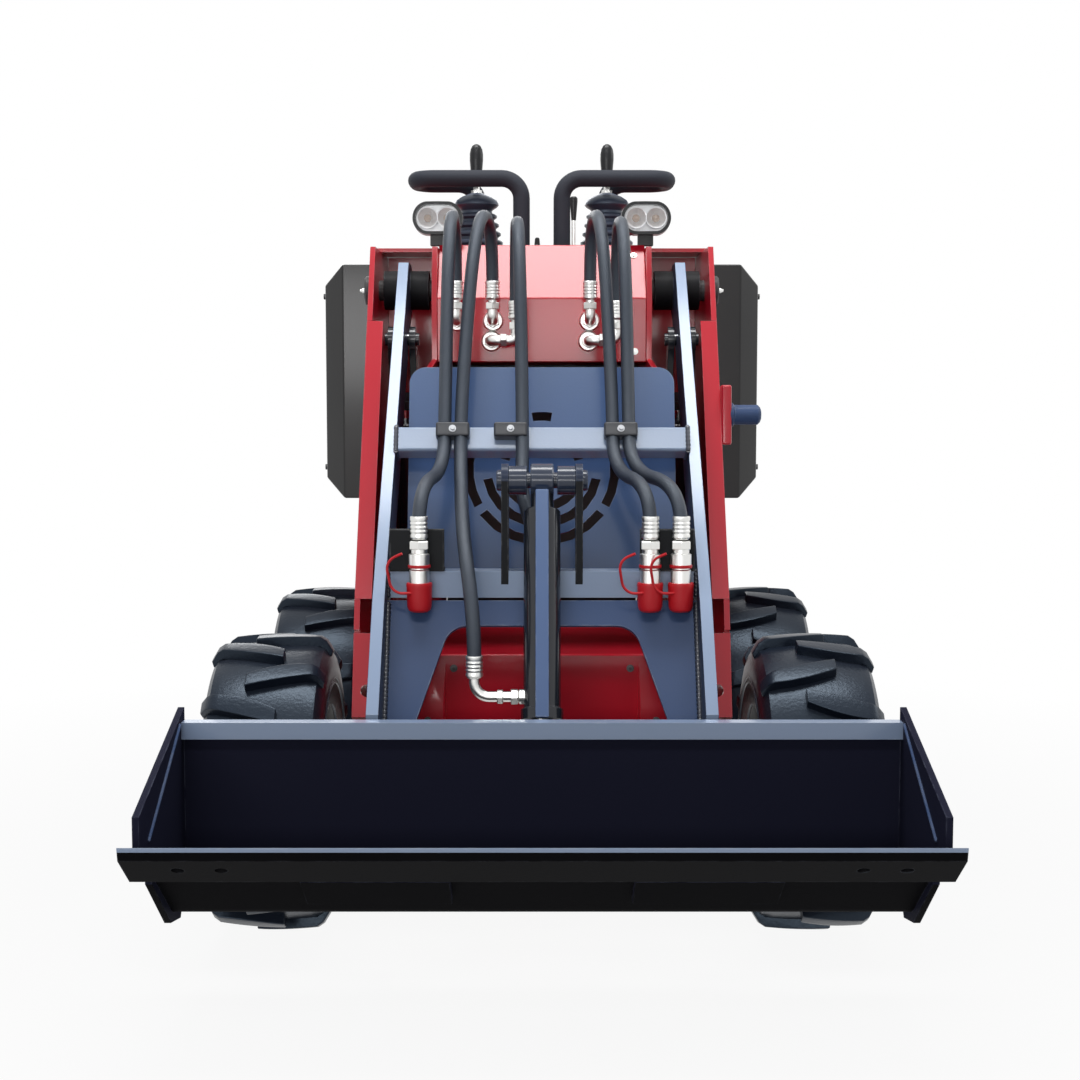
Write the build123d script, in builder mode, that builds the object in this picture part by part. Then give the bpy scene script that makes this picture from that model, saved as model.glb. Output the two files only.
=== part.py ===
import os
from math import cos, hypot, pi, radians, sin, tan
from build123d import *

os.makedirs("parts", exist_ok=True)

# wheels
tyre_r = 254
tyre_width = 200
tread_r = 236
bead_r = 140
rim_r = 127
wheel_x = 458
axle_front_y = -400
axle_rear_y = 320
lugs_per_side = 11
facets = 2 * lugs_per_side
nuts = 5
nut_circle = 70

# main frame
tub_half = 198
tub_front = -440
tub_rear = 650
tub_bottom = 130
tub_top = 480
wall = 10
belly_slope = 45
step_in = 164
step_out = 222
hub_flange_r = 55
spindle_r = 25

# towers
inner_face = 208
outer_face = 325
tower_rear = 235
tower_top = 1198
cap_front = 92
cap_height = 8
flange_width = 30
lug_width = 50
lug_height = 150
lug_foot = 4
tie_r = 11
tie_up = 50
pivot_y = 40
pivot_z = 1120
pivot_r = 20

# lift arms
arm_x = 264
arm_plate = 20
hinge_y = -675
hinge_z = 170
hinge_r = 15
boss_r = 38
tube_side = 44
upper_tube_y = -330
upper_tube_z = 835
lower_tube_y = -504
lower_tube_z = 608

# bucket
bucket_half = 557
edge_half = 575
edge_y = -1060
edge_z = 311
back_y = -739
lip_z = 424
shell = 8
side_plate = 10
plate_back = -725
bolt_x = (440, 500)
bolt_back = 52
bolt_r = 9

# cylinders
lift_base_y = 155
lift_base_z = 577
lift_eye_y = -61
lift_eye_z = 1022.5
lift_barrel_r = 28
lift_rod_r = 16
tilt_base_y = -505
tilt_base_z = 778
tilt_eye_y = -677
tilt_eye_z = 300
tilt_barrel_r = 30
tilt_rod_r = 17
port_x = 46
port_r = 12
port_low = 360
port_high = 100
port_rear = 48
elbow_x = 108

# covers and controls
hood_front = -64
sheet = 5
cover_half = 440
cover_front = 150
cover_rear = 610
cover_low = 709
cover_high = 1179
louvres = 5
hood_top = cover_high + 27
rear_face = 640
platform_half = 280
platform_z = 188
platform_rear = 1060
grip_y = 200
grip_z = 1355
grip_r = 17
grip_depth = 100
leg_rake = 80
grip_reach = 257
stick_x = 134
boot_rings = (58, 54, 50, 46, 42)
boot_top = 1331
stick_top = 1430
guard_arcs = [(68, 15, 65), (68, 100, 65), (68, 195, 65), (68, 280, 65), (98, 190, 160), (98, 80, 20),
              (130, 150, 60), (130, 217, 106), (130, 330, 60)]
guard_slot = 16
lamp_x = 200
lamp_z = 1256

# clearances
pin_gap = 1
stub_gap = 0.5
side_gap = 5
weld = 0.4

hose_r = 11.5
loop_top = 1234


def block(x0, x1, y0, y1, z0, z1):
    with BuildPart() as p:
        with Locations(((x0 + x1) / 2, (y0 + y1) / 2, (z0 + z1) / 2)):
            Box(abs(x1 - x0), y1 - y0, z1 - z0)
    return p.part


def plate_x(x0, x1, points, radius=0):
    with BuildPart() as p:
        with BuildSketch(Plane.YZ.offset(min(x0, x1))) as s:
            Polygon(*points, align=None)
            if radius:
                fillet(s.vertices(), radius)
        extrude(amount=abs(x1 - x0))
    return p.part


def bore_x(x0, x1, y, z, r):
    with BuildPart() as p:
        with BuildSketch(Plane.YZ.offset(min(x0, x1))):
            with Locations((y, z)):
                Circle(r)
        extrude(amount=abs(x1 - x0))
    return p.part


def rod_x(x0, x1, y, z, r, sides=14):
    with BuildPart() as p:
        with BuildSketch(Plane.YZ.offset(min(x0, x1))):
            with Locations((y, z)):
                RegularPolygon(r, sides)
        extrude(amount=abs(x1 - x0))
    return p.part


def frustum_x(x0, r0, x1, r1, sides):
    with BuildPart() as p:
        with BuildSketch(Plane.YZ.offset(x0)):
            RegularPolygon(r0, sides)
        with BuildSketch(Plane.YZ.offset(x1)):
            RegularPolygon(r1, sides)
        loft(ruled=True)
    return p.part


def rod_to(a, b, r, sides):
    axis = Vector(*b) - Vector(*a)
    with BuildPart() as p:
        with BuildSketch(Plane(origin=a, x_dir=(1, 0, 0), z_dir=axis)):
            if sides:
                RegularPolygon(r, sides)
            else:
                Circle(r)
        extrude(amount=axis.length)
    return p.part


def post(x, y, z0, z1, r, sides):
    with BuildPart() as p:
        with BuildSketch(Plane.XY.offset(z0)):
            with Locations((x, y)):
                RegularPolygon(r, sides)
        extrude(amount=z1 - z0)
    return p.part


def taper(x, y, z0, r0, z1, r1, sides):
    with BuildPart() as p:
        for z, r in ((z0, r0), (z1, r1)):
            with BuildSketch(Plane.XY.offset(z)):
                with Locations((x, y)):
                    RegularPolygon(r, sides)
        loft(ruled=True)
    return p.part


def bends(points, radius, steps):
    line = [Vector(*points[0])]
    for before, here, after in zip(points, points[1:], points[2:]):
        before, here, after = Vector(*before), Vector(*here), Vector(*after)
        into = (here - before).normalized()
        away = (after - here).normalized()
        turn = radians(into.get_angle(away))
        cut = radius * tan(turn / 2)
        centre = here + (away - into).normalized() * (radius / cos(turn / 2))
        first = here - into * cut - centre
        side = into * radius
        n = max(1, round(steps * turn / (pi / 2)))
        for i in range(n + 1):
            line.append(centre + first * cos(turn * i / n) + side * sin(turn * i / n))
    line.append(Vector(*points[-1]))
    return line


def hose(points, r, bend, steps=4, sides=7):
    line = bends(points, bend, steps)
    with BuildPart() as p:
        with BuildLine():
            Polyline(*line)
        with BuildSketch(Plane(origin=line[0], z_dir=line[1] - line[0])):
            RegularPolygon(r, sides)
        sweep(transition=Transition.RIGHT)
    return p.part


# tyres and rims, one shape for the four corners
half = tyre_width / 2
with BuildPart() as tyre:
    add(frustum_x(-half, 185, -half + 4, 215, facets))
    add(frustum_x(-half + 4, 215, -half + 16, tread_r, facets))
    add(frustum_x(-half + 16, tread_r, half - 16, tread_r, facets))
    add(frustum_x(half - 16, tread_r, half - 4, 215, facets))
    add(frustum_x(half - 4, 215, half, 185, facets))
    for i in range(lugs_per_side):
        for side in (-1, 1):
            turn = radians(360 / lugs_per_side * (i + 0.25 + 0.25 * side))
            face = Plane(origin=(0, 0, 0), x_dir=(1, 0, 0), z_dir=(0, sin(turn), cos(turn)))
            with BuildSketch(face.offset(tread_r - 10)):
                Polygon((side * -6, 26), (side * 40, 6), (side * 92, 2), (side * 92, -29),
                        (side * 40, -22), (side * -6, 2), align=None)
            extrude(amount=tyre_r - tread_r + 10)
    add(frustum_x(-half, 184, -half + 16, bead_r, facets), mode=Mode.SUBTRACT)
    add(frustum_x(half - 16, bead_r, half, 184, facets), mode=Mode.SUBTRACT)
    add(rod_x(-half, half, 0, 0, rim_r / cos(pi / facets), facets), mode=Mode.SUBTRACT)

with BuildPart() as rim:
    add(rod_x(-half + 8, half - 8, 0, 0, rim_r, facets))
    add(rod_x(-half + 8, -half + 16, 0, 0, bead_r - 2, facets))
    add(rod_x(half - 16, half - 8, 0, 0, bead_r - 2, facets))
    add(rod_x(-half + 8, 20, 0, 0, rim_r - 8, facets), mode=Mode.SUBTRACT)
    add(rod_x(30, half - 8, 0, 0, rim_r - 8, facets), mode=Mode.SUBTRACT)
    add(rod_x(-half + 8, 44, 0, 0, 46, facets))
    with BuildSketch(Plane.YZ.offset(30)):
        with PolarLocations(nut_circle, nuts):
            RegularPolygon(12, 6)
    extrude(amount=16)
    add(bore_x(-half + 8, 30, 0, 0, spindle_r + pin_gap), mode=Mode.SUBTRACT)

front_left = Pos(wheel_x, axle_front_y, tyre_r)
front_right = Pos(-wheel_x, axle_front_y, tyre_r) * Rot(0, 0, 180)
rear_left = Pos(wheel_x, axle_rear_y, tyre_r)
rear_right = Pos(-wheel_x, axle_rear_y, tyre_r) * Rot(0, 0, 180)

with BuildPart() as tyre_front_left:
    add(front_left * tyre.part)
tyre_front_left.part.label = "tyre_front_left"
export_step(tyre_front_left.part, "parts/tyre_front_left.step")

with BuildPart() as tyre_front_right:
    add(front_right * tyre.part)
tyre_front_right.part.label = "tyre_front_right"
export_step(tyre_front_right.part, "parts/tyre_front_right.step")

with BuildPart() as tyre_rear_left:
    add(rear_left * tyre.part)
tyre_rear_left.part.label = "tyre_rear_left"
export_step(tyre_rear_left.part, "parts/tyre_rear_left.step")

with BuildPart() as tyre_rear_right:
    add(rear_right * tyre.part)
tyre_rear_right.part.label = "tyre_rear_right"
export_step(tyre_rear_right.part, "parts/tyre_rear_right.step")

with BuildPart() as rim_front_left:
    add(front_left * rim.part)
rim_front_left.part.label = "rim_front_left"
export_step(rim_front_left.part, "parts/rim_front_left.step")

with BuildPart() as rim_front_right:
    add(front_right * rim.part)
rim_front_right.part.label = "rim_front_right"
export_step(rim_front_right.part, "parts/rim_front_right.step")

with BuildPart() as rim_rear_left:
    add(rear_left * rim.part)
rim_rear_left.part.label = "rim_rear_left"
export_step(rim_rear_left.part, "parts/rim_rear_left.step")

with BuildPart() as rim_rear_right:
    add(rear_right * rim.part)
rim_rear_right.part.label = "rim_rear_right"
export_step(rim_rear_right.part, "parts/rim_rear_right.step")

# main frame
with BuildPart() as chassis_frame:
    add(block(-tub_half, tub_half, tub_front, tub_rear, tub_bottom, tub_top))
    ends = chassis_frame.edges().filter_by(Axis.X).group_by(Axis.Z)[0]
    chamfer(ends, belly_slope)
    for s in (-1, 1):
        add(plate_x(s * step_in, s * step_out, [(tub_front, tub_bottom + 70), (tub_front, tub_top - 10),
                                                (tub_front - 26, tub_top - 80), (tub_front - 26, tub_bottom + 90)]))
        add(rod_x(s * tub_half, s * step_out, axle_front_y, tyre_r, hub_flange_r + side_gap), mode=Mode.SUBTRACT)
chassis_frame.part.label = "chassis_frame"
export_step(chassis_frame.part, "parts/chassis_frame.step")

with BuildPart() as stub_axles:
    for s in (-1, 1):
        for y in (axle_front_y, axle_rear_y):
            add(rod_x(s * tub_half, s * (wheel_x - half - side_gap), y, tyre_r, hub_flange_r))
            add(rod_x(s * (wheel_x - half - side_gap), s * (wheel_x + 25), y, tyre_r, spindle_r))
stub_axles.part.label = "stub_axles"
export_step(stub_axles.part, "parts/stub_axles.step")

# towers, welded up from an outer and an inner plate, rear web, floor, foot, cap, front flange and tie-down lug
outer_line = [(-41, tower_top), (-116, 1055 + weld), (-106 + weld, 1055 + weld), (-363 + weld, 566 - weld),
              (-374, 566 - weld), (-374, 564), (-438 + 48, 366 + 148), (-438 + 58, 366 + 145), (-438 + 11, 366),
              (-438 + 11, 340), (-300, 340), (-200, tub_top), (tower_rear, tub_top), (tower_rear, tower_top)]
inner_line = [(-41, tower_top), (hood_front, 1100), (hood_front, 985), (-214, 968), (-316, 600), (-374, 564),
              (-438, 366), (-438, 340), (-300, 340), (-200, tub_top), (tower_rear, tub_top),
              (tower_rear, tower_top)]


lug_plane = Plane(origin=(0, -438, 366), x_dir=(1, 0, 0), z_dir=(0, -198, 64))


def lug_plate(s):
    with BuildPart() as p:
        with BuildSketch(lug_plane) as sk:
            with Locations((s * (outer_face - lug_width / 2), (lug_foot + lug_height) / 2)):
                Rectangle(lug_width, lug_height - lug_foot)
            inner_top = sk.vertices().group_by(Axis.Y)[-1].sort_by(Axis.X)[0 if s > 0 else -1]
            fillet(inner_top, 26)
            with Locations((s * (outer_face - lug_width / 2), tie_up)):
                Circle(tie_r, mode=Mode.SUBTRACT)
        extrude(amount=-wall)
    return p.part


def tower(s):
    inside = s * (inner_face + weld)
    outside = s * (outer_face - wall - weld)
    with BuildPart() as p:
        add(plate_x(s * (outer_face - wall), s * outer_face, outer_line))
        add(plate_x(s * tub_half, s * inner_face, inner_line))
        add(bore_x(s * tub_half, s * outer_face, pivot_y, pivot_z, pivot_r), mode=Mode.SUBTRACT)
        add(bore_x(s * tub_half, s * outer_face, lift_base_y, lift_base_z, 12), mode=Mode.SUBTRACT)
        add(block(*sorted((inside, outside)), tower_rear - wall, tower_rear, tub_top, tower_top))
        add(block(*sorted((inside, outside)), -200, tower_rear - wall - weld, tub_top, tub_top + wall))
        add(plate_x(inside, outside, [(-438, 366), (-438, 350), (-300, 350), (-300, 366)]))
        add(block(*sorted((s * tub_half, s * (outer_face + 8))), cap_front, tower_rear, tower_top + weld,
                  tower_top + cap_height))
        add(plate_x(s * (outer_face - flange_width), s * outer_face,
                    [(-116, 1055), (-373, 566), (-363, 566), (-106, 1055)]))
        add(lug_plate(s))
    return p.part


with BuildPart() as tower_left:
    add(tower(1))
tower_left.part.label = "tower_left"
export_step(tower_left.part, "parts/tower_left.step")

with BuildPart() as tower_right:
    add(tower(-1))
tower_right.part.label = "tower_right"
export_step(tower_right.part, "parts/tower_right.step")

with BuildPart() as arm_pivot_pins:
    for s in (-1, 1):
        add(rod_x(s * tub_half, s * outer_face, pivot_y, pivot_z, pivot_r))
        add(rod_x(s * outer_face, s * (outer_face + 18), pivot_y, pivot_z, 28))
arm_pivot_pins.part.label = "arm_pivot_pins"
export_step(arm_pivot_pins.part, "parts/arm_pivot_pins.step")

with BuildPart() as lift_base_pins:
    for s in (-1, 1):
        add(rod_x(s * tub_half, s * outer_face, lift_base_y, lift_base_z, 12))
lift_base_pins.part.label = "lift_base_pins"
export_step(lift_base_pins.part, "parts/lift_base_pins.step")

# slotted guard in front of the cooler
def arc_slot(r, width, start, sweep_deg, steps):
    turns = [radians(start + sweep_deg * i / steps) for i in range(steps + 1)]
    outer = [((r + width / 2) * cos(t), (r + width / 2) * sin(t)) for t in turns]
    inner = [((r - width / 2) * cos(t), (r - width / 2) * sin(t)) for t in reversed(turns)]
    return outer + inner


guard_plane = Plane(origin=(0, -316, 600), x_dir=(1, 0, 0), z_dir=(0, -368, 102))
with BuildPart() as guard_plate:
    with BuildSketch(guard_plane):
        with Locations((0, 191)):
            RectangleRounded(476, 378, 30)
            for r, start, sweep_deg in guard_arcs:
                Polygon(*arc_slot(r, guard_slot, start, sweep_deg, round(2 + sweep_deg / 20)), align=None,
                        mode=Mode.SUBTRACT)
    extrude(amount=6)
guard_plate.part.label = "guard_plate"
export_step(guard_plate.part, "parts/guard_plate.step")

# covers
with BuildPart() as hood:
    add(plate_x(-tub_half, tub_half, [(hood_front, 980), (hood_front + sheet, 980), (hood_front + sheet, 1098),
                                      (18, hood_top - sheet), (121, hood_top - sheet), (121, hood_top),
                                      (16, hood_top), (hood_front, 1100)]))
hood.part.label = "hood"
export_step(hood.part, "parts/hood.step")

with BuildPart() as console_top:
    add(plate_x(-tub_half, tub_half, [(121, hood_top - 16), (470, hood_top - 16), (470, cover_high),
                                      (480, cover_high), (480, hood_top), (121, hood_top)]))
console_top.part.label = "console_top"
export_step(console_top.part, "parts/console_top.step")


def cover(s):
    with BuildPart() as p:
        with Locations((s * (outer_face + cover_half) / 2, (cover_front + cover_rear) / 2, (cover_low + cover_high) / 2)):
            Box(cover_half - outer_face, cover_rear - cover_front, cover_high - cover_low)
        far = p.faces().sort_by(Axis.X)[-1 if s > 0 else 0]
        chamfer(far.edges(), 40)
        for i in range(louvres):
            z = cover_low + 110 + 50 * i
            add(block(*sorted((s * (cover_half - 8), s * cover_half)), cover_front + 90, cover_rear - 90, z, z + 20),
                mode=Mode.SUBTRACT)
    return p.part


with BuildPart() as side_cover_left:
    add(cover(1))
side_cover_left.part.label = "side_cover_left"
export_step(side_cover_left.part, "parts/side_cover_left.step")

with BuildPart() as side_cover_right:
    add(cover(-1))
side_cover_right.part.label = "side_cover_right"
export_step(side_cover_right.part, "parts/side_cover_right.step")

with BuildPart() as rear_hood:
    add(block(-outer_face, outer_face, tower_rear, rear_face, tub_top, cover_high))
    add(block(-outer_face + sheet, outer_face - sheet, tower_rear, rear_face - sheet, tub_top, cover_high - sheet),
        mode=Mode.SUBTRACT)
    for i in range(8):
        z = 620 + 40 * i
        add(block(-180, 180, rear_face - sheet, rear_face, z, z + 18), mode=Mode.SUBTRACT)
rear_hood.part.label = "rear_hood"
export_step(rear_hood.part, "parts/rear_hood.step")

with BuildPart() as thigh_pad:
    with BuildSketch(Plane.XZ.offset(-rear_face)):
        with Locations((0, 1040)):
            Rectangle(420, 170)
    extrude(amount=-40)
    chamfer(thigh_pad.edges().filter_by(Axis.Y), 25)
    chamfer(thigh_pad.faces().sort_by(Axis.Y)[-1].edges(), 12)
thigh_pad.part.label = "thigh_pad"
export_step(thigh_pad.part, "parts/thigh_pad.step")

with BuildPart() as engine_block:
    add(block(-tub_half, tub_half, tower_rear + 15, 580, tub_top, 980))
engine_block.part.label = "engine_block"
export_step(engine_block.part, "parts/engine_block.step")

with BuildPart() as platform:
    add(block(-platform_half, platform_half, tub_rear, platform_rear, platform_z - 8, platform_z))
    for s in (-1, 1):
        add(block(*sorted((s * (platform_half - 8), s * platform_half)), tub_rear, platform_rear, platform_z - 50,
                  platform_z - 8))
    add(block(-platform_half, platform_half, platform_rear - 8, platform_rear, platform_z - 50, platform_z - 8))
    for s in (-1, 1):
        add(plate_x(s * (tub_half - 20), s * (tub_half - 10), [(tub_rear, platform_z), (tub_rear + 130, platform_z),
                                                               (tub_rear, platform_z + 150)]))
platform.part.label = "platform"
export_step(platform.part, "parts/platform.step")

# controls
with BuildPart() as grip_bars:
    for s in (-1, 1):
        add(hose([(s * 41, grip_y, hood_top), (s * 41, grip_y, grip_z), (s * grip_reach, grip_y, grip_z),
                  (s * grip_reach, grip_y + grip_depth, grip_z), (s * stick_x, grip_y + grip_depth, grip_z),
                  (s * stick_x, grip_y + grip_depth + leg_rake, hood_top + 36),
                  (s * stick_x, grip_y + grip_depth + leg_rake, hood_top)], grip_r, 40))
grip_bars.part.label = "grip_bars"
export_step(grip_bars.part, "parts/grip_bars.step")

stick_y = grip_y + grip_depth / 2
with BuildPart() as joystick_boots:
    for s in (-1, 1):
        for i, r in enumerate(boot_rings):
            z = hood_top + 18 * i
            add(post(s * stick_x, stick_y, z, z + 11, r, 14))
            add(post(s * stick_x, stick_y, z + 11, z + 18, r - 9, 14))
        dome = hood_top + 18 * len(boot_rings)
        add(taper(s * stick_x, stick_y, dome, 34, dome + 10, 46, 14))
        add(taper(s * stick_x, stick_y, dome + 10, 46, dome + 20, 42, 14))
        add(taper(s * stick_x, stick_y, dome + 20, 42, boot_top, 15, 14))
joystick_boots.part.label = "joystick_boots"
export_step(joystick_boots.part, "parts/joystick_boots.step")

with BuildPart() as joystick_levers:
    for s in (-1, 1):
        add(post(s * stick_x, stick_y, boot_top, stick_top - 80, 7, 10))
        add(taper(s * stick_x, stick_y, stick_top - 80, 11, stick_top - 22, 14, 12))
        add(taper(s * stick_x, stick_y, stick_top - 22, 14, stick_top, 9, 12))
joystick_levers.part.label = "joystick_levers"
export_step(joystick_levers.part, "parts/joystick_levers.step")

with BuildPart() as throttle_lever:
    add(post(64, 150, hood_top, 1266, 4, 8))
    add(taper(64, 150, 1266, 5, 1313, 8, 10))
throttle_lever.part.label = "throttle_lever"
export_step(throttle_lever.part, "parts/throttle_lever.step")

with BuildPart() as work_lamps:
    for s in (-1, 1):
        with BuildSketch(Plane.XZ.offset(4)):
            with Locations((s * lamp_x, lamp_z)):
                SlotOverall(97, 64)
        extrude(amount=-45)
        add(block(s * lamp_x - 15, s * lamp_x + 15, 16, 30, hood_top, lamp_z - 20))
work_lamps.part.label = "work_lamps"
export_step(work_lamps.part, "parts/work_lamps.step")

with BuildPart() as lamp_lenses:
    for s in (-1, 1):
        with BuildSketch(Plane.XZ.offset(4)):
            with Locations((s * lamp_x, lamp_z)):
                SlotOverall(85, 52)
        extrude(amount=3)
lamp_lenses.part.label = "lamp_lenses"
export_step(lamp_lenses.part, "parts/lamp_lenses.step")

# each port: bulkhead x and z, x where its hose rises, reach of the elbow
ports = [(-160, 1057, -160, 38), (-92, 1057, -92, 38), (-95, 1019, -48, 66), (90, 1057, 90, 38), (88, 1019, 138, 66)]
neck = 37
ferrule = 35
with BuildPart() as bulkhead_fittings:
    for x, z, rise, reach in ports:
        y = hood_front - reach
        add(rod_to((x, hood_front, z), (x, hood_front - 10, z), 19, 12))
        add(rod_to((x, hood_front - 10, z), (x, y - 9, z), 10, 10))
        if rise != x:
            add(rod_x(min(x, rise) - 9, max(x, rise) + 9, y, z, 10, 10))
        add(post(rise, y, z, z + neck, 9, 10))
        add(post(rise, y, z + neck, z + neck + ferrule, 14, 12))
bulkhead_fittings.part.label = "bulkhead_fittings"
export_step(bulkhead_fittings.part, "parts/bulkhead_fittings.step")

with BuildPart() as lock_pin:
    add(plate_x(outer_face, outer_face + 18, [(-226, 828), (-174, 828), (-182, 936), (-218, 936)]))
    add(rod_x(outer_face + 18, outer_face + 74, -200, 882, 18))
    chamfer(lock_pin.faces().sort_by(Axis.X)[-1].edges(), 5)
lock_pin.part.label = "lock_pin"
export_step(lock_pin.part, "parts/lock_pin.step")

# lift arms
arm_line = [(-16, 1170), (-338, 839), (-580, 589), (-700, 424), (-707, hinge_z), (-643, hinge_z), (-628, 385),
            (-520, 520), (-265, 770), (-42, 1004), (72, 1089), (pivot_y, 1170)]


def arm(s):
    with BuildPart() as p:
        add(plate_x(s * (arm_x - arm_plate / 2), s * (arm_x + arm_plate / 2), arm_line))
        add(rod_x(s * (arm_x - arm_plate / 2), s * (arm_x + arm_plate / 2), hinge_y, hinge_z, 32))
        add(rod_x(s * (arm_x - arm_plate / 2), s * (arm_x + arm_plate / 2), pivot_y, pivot_z, 50))
        add(rod_x(s * (inner_face + 2 * side_gap), s * (outer_face - wall - 2 * side_gap), pivot_y, pivot_z, boss_r))
        add(bore_x(s * inner_face, s * outer_face, pivot_y, pivot_z, pivot_r + pin_gap), mode=Mode.SUBTRACT)
        add(bore_x(s * inner_face, s * outer_face, hinge_y, hinge_z, hinge_r + pin_gap), mode=Mode.SUBTRACT)
    return p.part


with BuildPart() as arm_left:
    add(arm(1))
arm_left.part.label = "arm_left"
export_step(arm_left.part, "parts/arm_left.step")

with BuildPart() as arm_right:
    add(arm(-1))
arm_right.part.label = "arm_right"
export_step(arm_right.part, "parts/arm_right.step")

arm_inside = arm_x - arm_plate / 2
with BuildPart() as upper_cross_tube:
    with BuildSketch(Plane.YZ.offset(-arm_inside)):
        with Locations((upper_tube_y, upper_tube_z)):
            RectangleRounded(tube_side, tube_side, 5, rotation=-21)
    extrude(amount=2 * arm_inside)
upper_cross_tube.part.label = "upper_cross_tube"
export_step(upper_cross_tube.part, "parts/upper_cross_tube.step")

with BuildPart() as lower_cross_tube:
    add(block(-arm_inside, arm_inside, lower_tube_y - tube_side / 2, lower_tube_y + tube_side / 2,
              lower_tube_z - tube_side / 2, lower_tube_z + tube_side / 2))
    for s in (-1, 1):
        add(plate_x(s * 55, s * 67, [(lower_tube_y - 22, lower_tube_z), (lower_tube_y + 22, lower_tube_z),
                                     (tilt_base_y + 28, tilt_base_z), (tilt_base_y - 28, tilt_base_z)]))
        add(rod_x(s * 55, s * 67, tilt_base_y, tilt_base_z, 28))
        add(bore_x(s * 55, s * 67, tilt_base_y, tilt_base_z, 13), mode=Mode.SUBTRACT)
lower_cross_tube.part.label = "lower_cross_tube"
export_step(lower_cross_tube.part, "parts/lower_cross_tube.step")

with BuildPart() as tilt_pin:
    add(rod_x(-72, 72, tilt_base_y, tilt_base_z, 13))
    for s in (-1, 1):
        add(rod_x(s * 25, s * 55, tilt_base_y, tilt_base_z, 24))
        add(rod_x(s * 67, s * 75, tilt_base_y, tilt_base_z, 17))
tilt_pin.part.label = "tilt_pin"
export_step(tilt_pin.part, "parts/tilt_pin.step")

arch_plane = Plane(origin=(0, -640, 345), x_dir=(1, 0, 0), z_dir=(0, -245, 125))
with BuildPart() as arch_plate:
    with BuildSketch(arch_plane):
        Polygon((-arm_inside, 0), (arm_inside, 0), (arm_inside, 262), (-arm_inside, 262), align=None)
        with BuildSketch(mode=Mode.SUBTRACT) as opening:
            Polygon((-226, -20), (226, -20), (150, 218), (-150, 218), align=None)
            fillet(opening.vertices().group_by(Axis.Y)[-1], 40)
    extrude(amount=8)
arch_plate.part.label = "arch_plate"
export_step(arch_plate.part, "parts/arch_plate.step")

lean = radians(21)
up = (sin(lean), cos(lean))
out = (-cos(lean), sin(lean))


def on_tube(u, n):
    return (upper_tube_y + up[0] * u + out[0] * (n + tube_side / 2), upper_tube_z + up[1] * u + out[1] * (n + tube_side / 2))


with BuildPart() as hose_clamps:
    for x in (-154, -54, 136):
        add(plate_x(x - 29, x + 29, [on_tube(-4, 0), on_tube(22, 0), on_tube(22, 26), on_tube(-4, 26)]))
hose_clamps.part.label = "hose_clamps"
export_step(hose_clamps.part, "parts/hose_clamps.step")

bracket_face = lower_tube_y - tube_side / 2 - 7
coupler_y = bracket_face - 17
with BuildPart() as coupler_brackets:
    for s in (-1, 1):
        add(block(*sorted((s * 160, s * 250)), bracket_face, lower_tube_y, lower_tube_z + tube_side / 2,
                  lower_tube_z + tube_side / 2 + 6))
        add(block(*sorted((s * 160, s * 250)), bracket_face, bracket_face + 6, lower_tube_z + tube_side / 2, 700))
coupler_brackets.part.label = "coupler_brackets"
export_step(coupler_brackets.part, "parts/coupler_brackets.step")

with BuildPart() as couplers:
    for x in (-200, 176, 226):
        add(post(x, coupler_y, 612, 712, 17, 12))
couplers.part.label = "couplers"
export_step(couplers.part, "parts/couplers.step")

with BuildPart() as coupler_caps:
    for x in (-200, 176, 226):
        add(post(x, coupler_y, 580, 612, 21, 16))
coupler_caps.part.label = "coupler_caps"
export_step(coupler_caps.part, "parts/coupler_caps.step")


# cylinders
def along(base, tip, t, off=0):
    length = hypot(tip[0] - base[0], tip[1] - base[1])
    u = ((tip[0] - base[0]) / length, (tip[1] - base[1]) / length)
    return (base[0] + u[0] * t - u[1] * off, base[1] + u[1] * t + u[0] * off)


def slant(x, base, tip, t0, t1, r, sides=16):
    return rod_to((x, *along(base, tip, t0)), (x, *along(base, tip, t1)), r, sides)


lift_base = (lift_base_y, lift_base_z)
lift_eye = (lift_eye_y, lift_eye_z)
lift_length = hypot(lift_eye_y - lift_base_y, lift_eye_z - lift_base_z)
tilt_base = (tilt_base_y, tilt_base_z)
tilt_eye = (tilt_eye_y, tilt_eye_z)
tilt_length = hypot(tilt_eye_y - tilt_base_y, tilt_eye_z - tilt_base_z)

with BuildPart() as lift_barrels:
    for s in (-1, 1):
        add(slant(s * arm_x, lift_base, lift_eye, 20, 330, lift_barrel_r))
        add(rod_x(s * (arm_x - 26), s * (arm_x + 26), *lift_base, 27))
        add(slant(s * arm_x, lift_base, lift_eye, 90, 330, lift_rod_r + stub_gap, 0), mode=Mode.SUBTRACT)
        add(bore_x(s * (arm_x - 30), s * (arm_x + 30), *lift_base, 12 + stub_gap), mode=Mode.SUBTRACT)
lift_barrels.part.label = "lift_barrels"
export_step(lift_barrels.part, "parts/lift_barrels.step")

with BuildPart() as lift_rods:
    for s in (-1, 1):
        add(slant(s * arm_x, lift_base, lift_eye, 110, lift_length - 130, lift_rod_r))
        add(plate_x(s * (arm_x - 26), s * (arm_x + 26),
                    [along(lift_base, lift_eye, lift_length - 140, 20), along(lift_base, lift_eye, lift_length - 140, -20),
                     along(lift_base, lift_eye, lift_length - 120, -20), along(lift_base, lift_eye, lift_length - 120, 20)]))
        for c in (-1, 1):
            x0 = s * arm_x + c * (arm_plate / 2 + 4)
            x1 = s * arm_x + c * 26
            add(plate_x(x0, x1, [along(lift_base, lift_eye, lift_length - 130, 20),
                                 along(lift_base, lift_eye, lift_length - 130, -20),
                                 along(lift_base, lift_eye, lift_length, -20), along(lift_base, lift_eye, lift_length, 20)]))
            add(rod_x(x0, x1, *lift_eye, 24))
            add(rod_x(s * arm_x + c * (arm_plate / 2 + stub_gap), s * arm_x + c * 32, *lift_eye, 12))
lift_rods.part.label = "lift_rods"
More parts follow.
